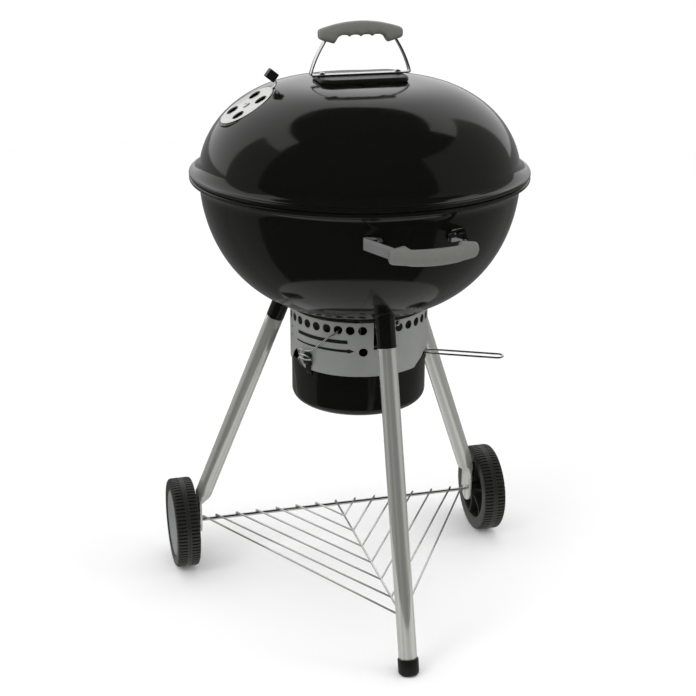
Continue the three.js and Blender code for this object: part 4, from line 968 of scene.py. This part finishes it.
shelf_wires = [shelf_wire(0, nose_y)]
for side in (-1, 1):
    shelf_wires.append(shelf_wire(side * SHELF_SIDE_X, nose_y))
    for i in range(1, SHELF_PAIRS + 1):
        shelf_wires.append(shelf_wire(side * i * SHELF_PITCH, back_y - 6 - i * SHELF_STEP))
piece("wire_shelf", join(*shelf_wires), "shelf", 60)

# ---- ash ring
# cut-outs of the ring, as (azimuth, z): one in its lower edge on each side, and the slit under the front holes
NOTCH_LEFT = [(-155, 402), (-158, 405.5), (-162, 411.6), (-167.4, 428), (-173, 422), (-178.6, 408),
              (-182, 402)]
NOTCH_RIGHT = [(-53.4, 402), (-50, 407), (-46, 410.6), (-41, 414), (-37.4, 419), (26, 419), (26, 402)]
SLIT = [(-93.5, 488.5), (-93.5, 445), (-76, 445), (-76, 488.5)]
RING_HOLES, FIRST_HOLE, HOLE_PITCH = 34, -71, 328.5 / 33


def ring_cutter(outline):
    """Radial prism over an outline of (azimuth, z) points on the ring."""
    dense = []
    for (a0, z0), (a1, z1) in zip(outline, outline[1:] + outline[:1]):
        steps = max(1, int(abs(a1 - a0) / 4))
        dense += [(a0 + (a1 - a0) * k / steps, z0 + (z1 - z0) * k / steps) for k in range(steps)]
    return loft([[polar(radius, a, z) for a, z in dense] for radius in (RING_R - 9, RING_R + 9)])


def radial_hole(azimuth, z, radius):
    start = polar(RING_R - 8, azimuth, z)
    return moved(disc(radius, 0, 16, turns=32), aimed(start, polar(1, azimuth)))


ring_inner = RING_R - RING_WALL
ring_profile = [(ring_inner, RING_BOTTOM_Z), (RING_R - 0.2, RING_BOTTOM_Z), (RING_R, RING_BOTTOM_Z + 0.3),
                (RING_R, RING_TOP_Z - 0.3), (RING_R - 0.2, RING_TOP_Z), (ring_inner, RING_TOP_Z)]
ring = mesh_object("ash_guard", revolve(ring_profile, 180, closed=True), 40)
for outline in (SLIT, NOTCH_LEFT, NOTCH_RIGHT):
    combine(ring, "DIFFERENCE", ring_cutter(outline))
holes = [radial_hole(FIRST_HOLE + i * HOLE_PITCH, RING_HOLE_Z, RING_HOLE_R) for i in range(RING_HOLES)]
combine(ring, "DIFFERENCE", join(*holes, radial_hole(-101.8, 441.6, RING_HOLE_R)))
for side in (-1, 1):
    shift = Vector((side, 1, 1))
    low = REAR_LEG_AIM * shift
    high = REAR_LEG_TOP.lerp(REAR_LEG_AIM, -0.1) * shift
    leg_room = disc(SOCKET_R + 0.8, 0, (high - low).length, turns=48)
    combine(ring, "DIFFERENCE", moved(leg_room, aimed(low, high - low)))
finish_shading(ring, 30)
dress(ring, "ash_ring")

# plain marks in place of the printing
INK_R, INK_THICK = RING_R + 0.04, 0.12
ARROW_TAIL, ARROW_NECK, ARROW_TIP, ARROW_Z = -167, -115, -109, 443.2


def mark(azimuths, low_at, high_at):
    return curved_plate(azimuths, INK_R, INK_THICK, low_at, high_at)


def arrow_half(azimuth):
    if azimuth > ARROW_NECK:
        return max(0.05, 4.6 * (ARROW_TIP - azimuth) / 6)
    return 1.1 + 1.1 * (azimuth - ARROW_TAIL) / 52


arrow_azimuths = spread(ARROW_TAIL, ARROW_NECK - 0.05, 22) + spread(ARROW_NECK, ARROW_TIP - 0.1, 4)
marks = [mark(spread(-164.5, -114.5, 24), lambda a: 454.4, lambda a: 460),
         mark(arrow_azimuths, lambda a: ARROW_Z - arrow_half(a), lambda a: ARROW_Z + arrow_half(a))]
marks += [mark(spread(-180.2, -177.8, 2), lambda a, z=z: z - 1.3, lambda a, z=z: z + 1.3) for z in (457, 443)]
piece("ring_marks", join(*marks), "ash_ring", replaced=(), material=RING_INK)
for name, azimuth, base_r in (("left", -90.6, ring_inner), ("right", -72.5, RING_R)):
    profile = [(0, 0.1), (4.3, 0.1), (4.3, 0.7), (3.6, 1.7), (2.3, 2.4), (0, 2.6)]
    screw = moved(revolve(profile, 24), aimed(polar(base_r, azimuth, 482.5), polar(1, azimuth)))
    piece(f"ring_bolt_{name}", screw, f"ring_screw_{name}", 50)
joiner = curved_plate(spread(-98.4, -66, 16), ring_inner - GAP - 2, 2, lambda a: 468, lambda a: 487)
piece("ring_joiner", joiner, "ring_bracket", 40)

# ---- ash pot, catches and clips
POT_CORNER, POT_WALL = 15, 1.3


def pot_corner(radius, angles):
    """Arc of the pot's lower corner, from below (0 degrees) to the side (90)."""
    arc = [polar(radius, angle) for angle in angles]
    return [(POT_R - POT_CORNER + point.y, POT_BOTTOM_Z + POT_CORNER - point.x) for point in arc]


pot_profile = [(0, POT_BOTTOM_Z + 2.0), (70, POT_BOTTOM_Z + 1.4), (84, POT_BOTTOM_Z), (88, POT_BOTTOM_Z)]
pot_profile += pot_corner(POT_CORNER, spread(0, 90, 10))
pot_profile += [(POT_R, POT_TOP_Z - 1), (POT_R - 0.5, POT_TOP_Z - 0.1), (POT_R - POT_WALL, POT_TOP_Z - 0.5),
                (POT_R - POT_WALL, POT_TOP_Z - 4)]
pot_profile += pot_corner(POT_CORNER - POT_WALL, spread(90, 0, 10))
pot_profile += [(84, POT_BOTTOM_Z + 1.3), (70, POT_BOTTOM_Z + 2.7), (0, POT_BOTTOM_Z + 3.3)]
piece("ash_bucket", revolve(pot_profile, 144), "ash_pot", 40)

CLIP_PIVOT, CATCH = -122.5, -150.5
# the clip's wire, as (azimuth, distance out from the ring, z): out of its hole, then two loops over the catch
CLIP_WIRE = ((CLIP_PIVOT, -4.5, RING_HOLE_Z), (CLIP_PIVOT, 1.8, RING_HOLE_Z - 1),
             (CLIP_PIVOT - 1.2, 2.8, RING_HOLE_Z - 5), (CLIP_PIVOT - 8, 3.4, 462),
             (CLIP_PIVOT - 17, 4.4, 446), (CATCH + 5.5, 5.6, 437), (CATCH, 5.8, 434),
             (CATCH - 6, 5.6, 433.5), (CATCH - 9.4, 5.2, 430), (CATCH - 7, 6.2, 426),
             (CATCH + 2, 7.4, 427), (CATCH + 6.5, 7.2, 424), (CATCH, 7.6, 420.5),
             (CATCH - 7.5, 6.6, 420), (CATCH - 9.6, 5.4, 415.5), (CATCH - 6, 4.6, 409))
# the catch's wedge, as (z, depth, half width)
WEDGE = ((411, 0.5, 6.4), (412, 3.2, 7.8), (417, 5.0, 8.2), (423, 4.2, 8.4), (429, 2.6, 7.6), (431, 1.0, 5.6))
plate_r = RING_R + 1.4
for name, turn in (("front", 0), ("rear", 240)):
    azimuth = CATCH + turn
    out, across = polar(1, azimuth), polar(1, azimuth + 90)
    catch_path = [polar(radius, azimuth, z) for radius, z in (
        (POT_R + 0.4, 393), (POT_R + 0.6, 396.5), (plate_r, 402), (plate_r, 412), (plate_r + 0.1, 428))]
    catch_plate = strip(fillet_path(catch_path, 3, 4), across, 11, 1.6)
    wedge_rings = []
    for z, deep, half in WEDGE:
        base = polar(plate_r + 0.2, azimuth, z)
        wedge_rings.append([base - across * half, base - across * half * 0.86 + out * deep * 0.8,
                            base + across * half * 0.86 + out * deep, base + across * half])
    piece(f"catch_{name}", join(catch_plate, loft(wedge_rings)), f"pot_catch_{name}", 30)
    clip_path = [polar(RING_R + distance, wire_azimuth + turn, z) for wire_azimuth, distance, z in CLIP_WIRE]
    piece(f"spring_clip_{name}", tube(smooth_path(clip_path, 6), 1.3, 10), f"pot_clip_{name}", 60)

# ---- sweeper lever and nut
lever_out = polar(1, LEVER_AZIMUTH)
lever_across = polar(1, LEVER_AZIMUTH + 90)
LEVER_WIRE_R, LEVER_NECK_HALF, LEVER_HALF = 1.6, 2.9, 8.5
LEVER_START_R, LEVER_NECK_R, LEVER_LOOP_R = 8.5, 104, 124
LEVER_BEND_R = LEVER_REACH - LEVER_HALF - LEVER_WIRE_R
LEVER_Z, LEVER_RISE = 412.9, 4 / 122


def lever_point(r, offset):
    return lever_out * r + lever_across * offset + Z_AXIS * (LEVER_Z + r * LEVER_RISE)


def lever_half(side):
    """One side of the lever's wire: two straight runs and half of the bend at its end."""
    neck, wide = side * LEVER_NECK_HALF, side * LEVER_HALF
    runs = [lever_point(r, offset) for r, offset in (
        (LEVER_START_R, neck), (LEVER_NECK_R, neck), (LEVER_LOOP_R, wide), (LEVER_BEND_R, wide))]
    arc = [polar(LEVER_HALF, angle) for angle in spread(80, 10, 7)]
    return fillet_path(runs, 9) + [lever_point(LEVER_BEND_R + p.x, side * p.y) for p in arc]


tip = lever_point(LEVER_BEND_R + LEVER_HALF, 0)
lever_wire = tube(lever_half(1) + [tip] + lever_half(-1)[::-1], LEVER_WIRE_R, 12)
collar = revolve([(4.4, 406.6), (9.4, 406.6), (10, 407.2), (10, 415.2), (9.4, 415.8), (4.4, 415.8)],
                 40, closed=True)
piece("lever_loop", join(lever_wire, collar), "sweeper_lever", 50)
nut_rings = [[polar(radius, 60 * k, z) for k in range(6)]
             for radius, z in ((4.4, 401), (7.4, 401), (8, 401.6), (8, 405.4), (7.4, 406), (4.4, 406))]
piece("shaft_nut", loft(nut_rings, loop=True), "sweeper_nut", 20)


# ---- grates
def grate_shape(radius, z, ring_wire, bar_wire, pitch):
    """Round hoop with parallel bars on it and two cross bars under them."""
    hoop = tube([polar(radius, a, z) for a in range(0, 360, 4)], ring_wire, 10, closed=True)
    wires = [hoop]
    count = int(radius / pitch)
    for i in range(-count, count + 1):
        x = i * pitch
        reach = math.sqrt(radius * radius - x * x)
        if reach > 20:
            wires.append(tube([Vector((x, -reach, z)), Vector((x, reach, z))], bar_wire, 8))
    for y in (-radius / 2, radius / 2):
        reach = math.sqrt(radius * radius - y * y)
        low = z - 2 * bar_wire + 0.3
        wires.append(tube([Vector((-reach, y, low)), Vector((reach, y, low))], bar_wire, 8))
    return join(*wires)


COOKING_GRATE_R, COOKING_GRATE_Z = 228, 667
CHARCOAL_GRATE_R, CHARCOAL_GRATE_Z = 170, 540
piece("cooking_grid", grate_shape(COOKING_GRATE_R, COOKING_GRATE_Z, 3, 2, 13), "cooking_grate", 60)
piece("charcoal_grid", grate_shape(CHARCOAL_GRATE_R, CHARCOAL_GRATE_Z, 3, 2.5, 14), "charcoal_grate", 60)

# ---- CAD nodes that stay visible
for node_name, obj in frame["nodes"].items():
    obj.data.materials.clear()
    obj.data.materials.append(FINISHES[node_slots[node_name]])


# ---- floor, light and camera
def stage_object(name, shape, nodes):
    obj = mesh_object(name, shape, 60)
    obj.data.materials.append(nodes.material)
    return obj


def sheet(rows):
    """Open surface through rows of equal counts."""
    width = len(rows[0])
    faces = [(r * width + i, r * width + i + 1, (r + 1) * width + i + 1, (r + 1) * width + i)
             for r in range(len(rows) - 1) for i in range(width - 1)]
    return [point for row in rows for point in row], faces


FLOOR_HALF, FLOOR_DROP = 9000, 0.2
floor_ends = (-FLOOR_HALF, FLOOR_HALF)
stage_object("studio_floor", sheet([[Vector((x, y, -FLOOR_DROP)) for x in floor_ends] for y in floor_ends]),
             Nodes("studio_floor_paint", (0.97, 0.97, 0.97), 0.8))

# Dark and grey studio cards, as sectors of a large dome and of the floor: only reflections see them.
FLAG_R, CARD_LIFT = 3600, 0.4
NEAR_R, FAR_R = 430, 3590
FRONT, RIGHT, BACK, LEFT = (-178, -51), (-51, 28), (28, 150), (150, 182)  # azimuths; the camera is in front


def dome_patch(sector, low, high):
    elevations = [math.radians(elevation) for elevation in spread(low, high, 16)]
    return sheet([[polar(FLAG_R * math.cos(e), a, FLAG_R * math.sin(e)) for a in spread(*sector, 32)]
                  for e in elevations])


def floor_patch(sector, inner_r=NEAR_R, outer_r=FAR_R):
    return sheet([[polar(radius, a, CARD_LIFT) for a in spread(*sector, 32)]
                  for radius in (inner_r, outer_r)])


def flag(name, shape, glow):
    """Card that only reflections see: black, or with a soft grey glow of its own."""
    nodes = Nodes(name + "_paint", (0.004, 0.004, 0.004), 0.9)
    nodes.shader.inputs["Emission Color"].default_value = (1, 1, 1, 1)
    nodes.shader.inputs["Emission Strength"].default_value = glow
    obj = stage_object(name, shape, nodes)
    obj.visible_camera = obj.visible_diffuse = obj.visible_shadow = obj.visible_transmission = False


flag("studio_flag_front", dome_patch(FRONT, -1, 52), 0.0)
flag("studio_flag_top_front", dome_patch((-180, 0), 52, 89.8), 0.01)
flag("studio_flag_top_back", dome_patch((0, 180), 64, 89.8), 0.02)
flag("studio_card_right", dome_patch(RIGHT, -1, 52), 0.26)
flag("studio_card_left", dome_patch(LEFT, -1, 52), 0.24)
flag("studio_card_back", dome_patch(BACK, -1, 13), 0.3)
flag("studio_floor_near", floor_patch((-180, 180), 1, NEAR_R), 0.55)
flag("studio_floor_front", floor_patch(FRONT), 0.0)
flag("studio_floor_right", floor_patch(RIGHT), 0.22)
flag("studio_floor_back", floor_patch(BACK), 0.16)
flag("studio_floor_left", floor_patch(LEFT), 0.2)

world = bpy.data.worlds.new("studio_world")
bpy.context.scene.world = world
world.use_nodes = True
sky = world.node_tree.nodes["Background"]
sky.inputs["Color"].default_value = (1, 1, 1, 1)
sky.inputs["Strength"].default_value = 1.06


def soft_light(name, location, aim, size, watts):
    data = bpy.data.lights.new(name, "AREA")
    data.shape = "DISK"
    data.size = size
    data.energy = watts
    obj = bpy.data.objects.new(name, data)
    bpy.context.scene.collection.objects.link(obj)
    obj.location = Vector(location)
    obj.rotation_euler = (Vector(aim) - obj.location).to_track_quat("-Z", "Y").to_euler()
    obj.visible_glossy = False


soft_light("soft_key", (-2.2, -1.2, 2.2), (0, 0, 0.5), 1.2, 16)
soft_light("soft_fill", (2.4, -1.0, 1.6), (0, 0, 0.4), 1.2, 10)

# the photo's viewpoint: place in millimetres about the kettle's axis, and the directions of the picture's edges
CAMERA_AT = Vector((-566.11, -2023.15, 1182.46))
CAMERA_RIGHT = Vector((0.96538, -0.26083, 0.003005))
CAMERA_UP = Vector((0.08729, 0.33389, 0.93856))
camera_data = bpy.data.cameras.new("photo_camera")
camera_data.lens = 74.23
camera_data.sensor_width = 36
camera_data.clip_end = 100
camera = bpy.data.objects.new("photo_camera", camera_data)
bpy.context.scene.collection.objects.link(camera)
camera.matrix_world = basis(AXIS + CAMERA_AT * MM, CAMERA_RIGHT, CAMERA_UP, CAMERA_RIGHT.cross(CAMERA_UP))
bpy.context.scene.camera = camera
bpy.context.scene.view_settings.view_transform = "Standard"
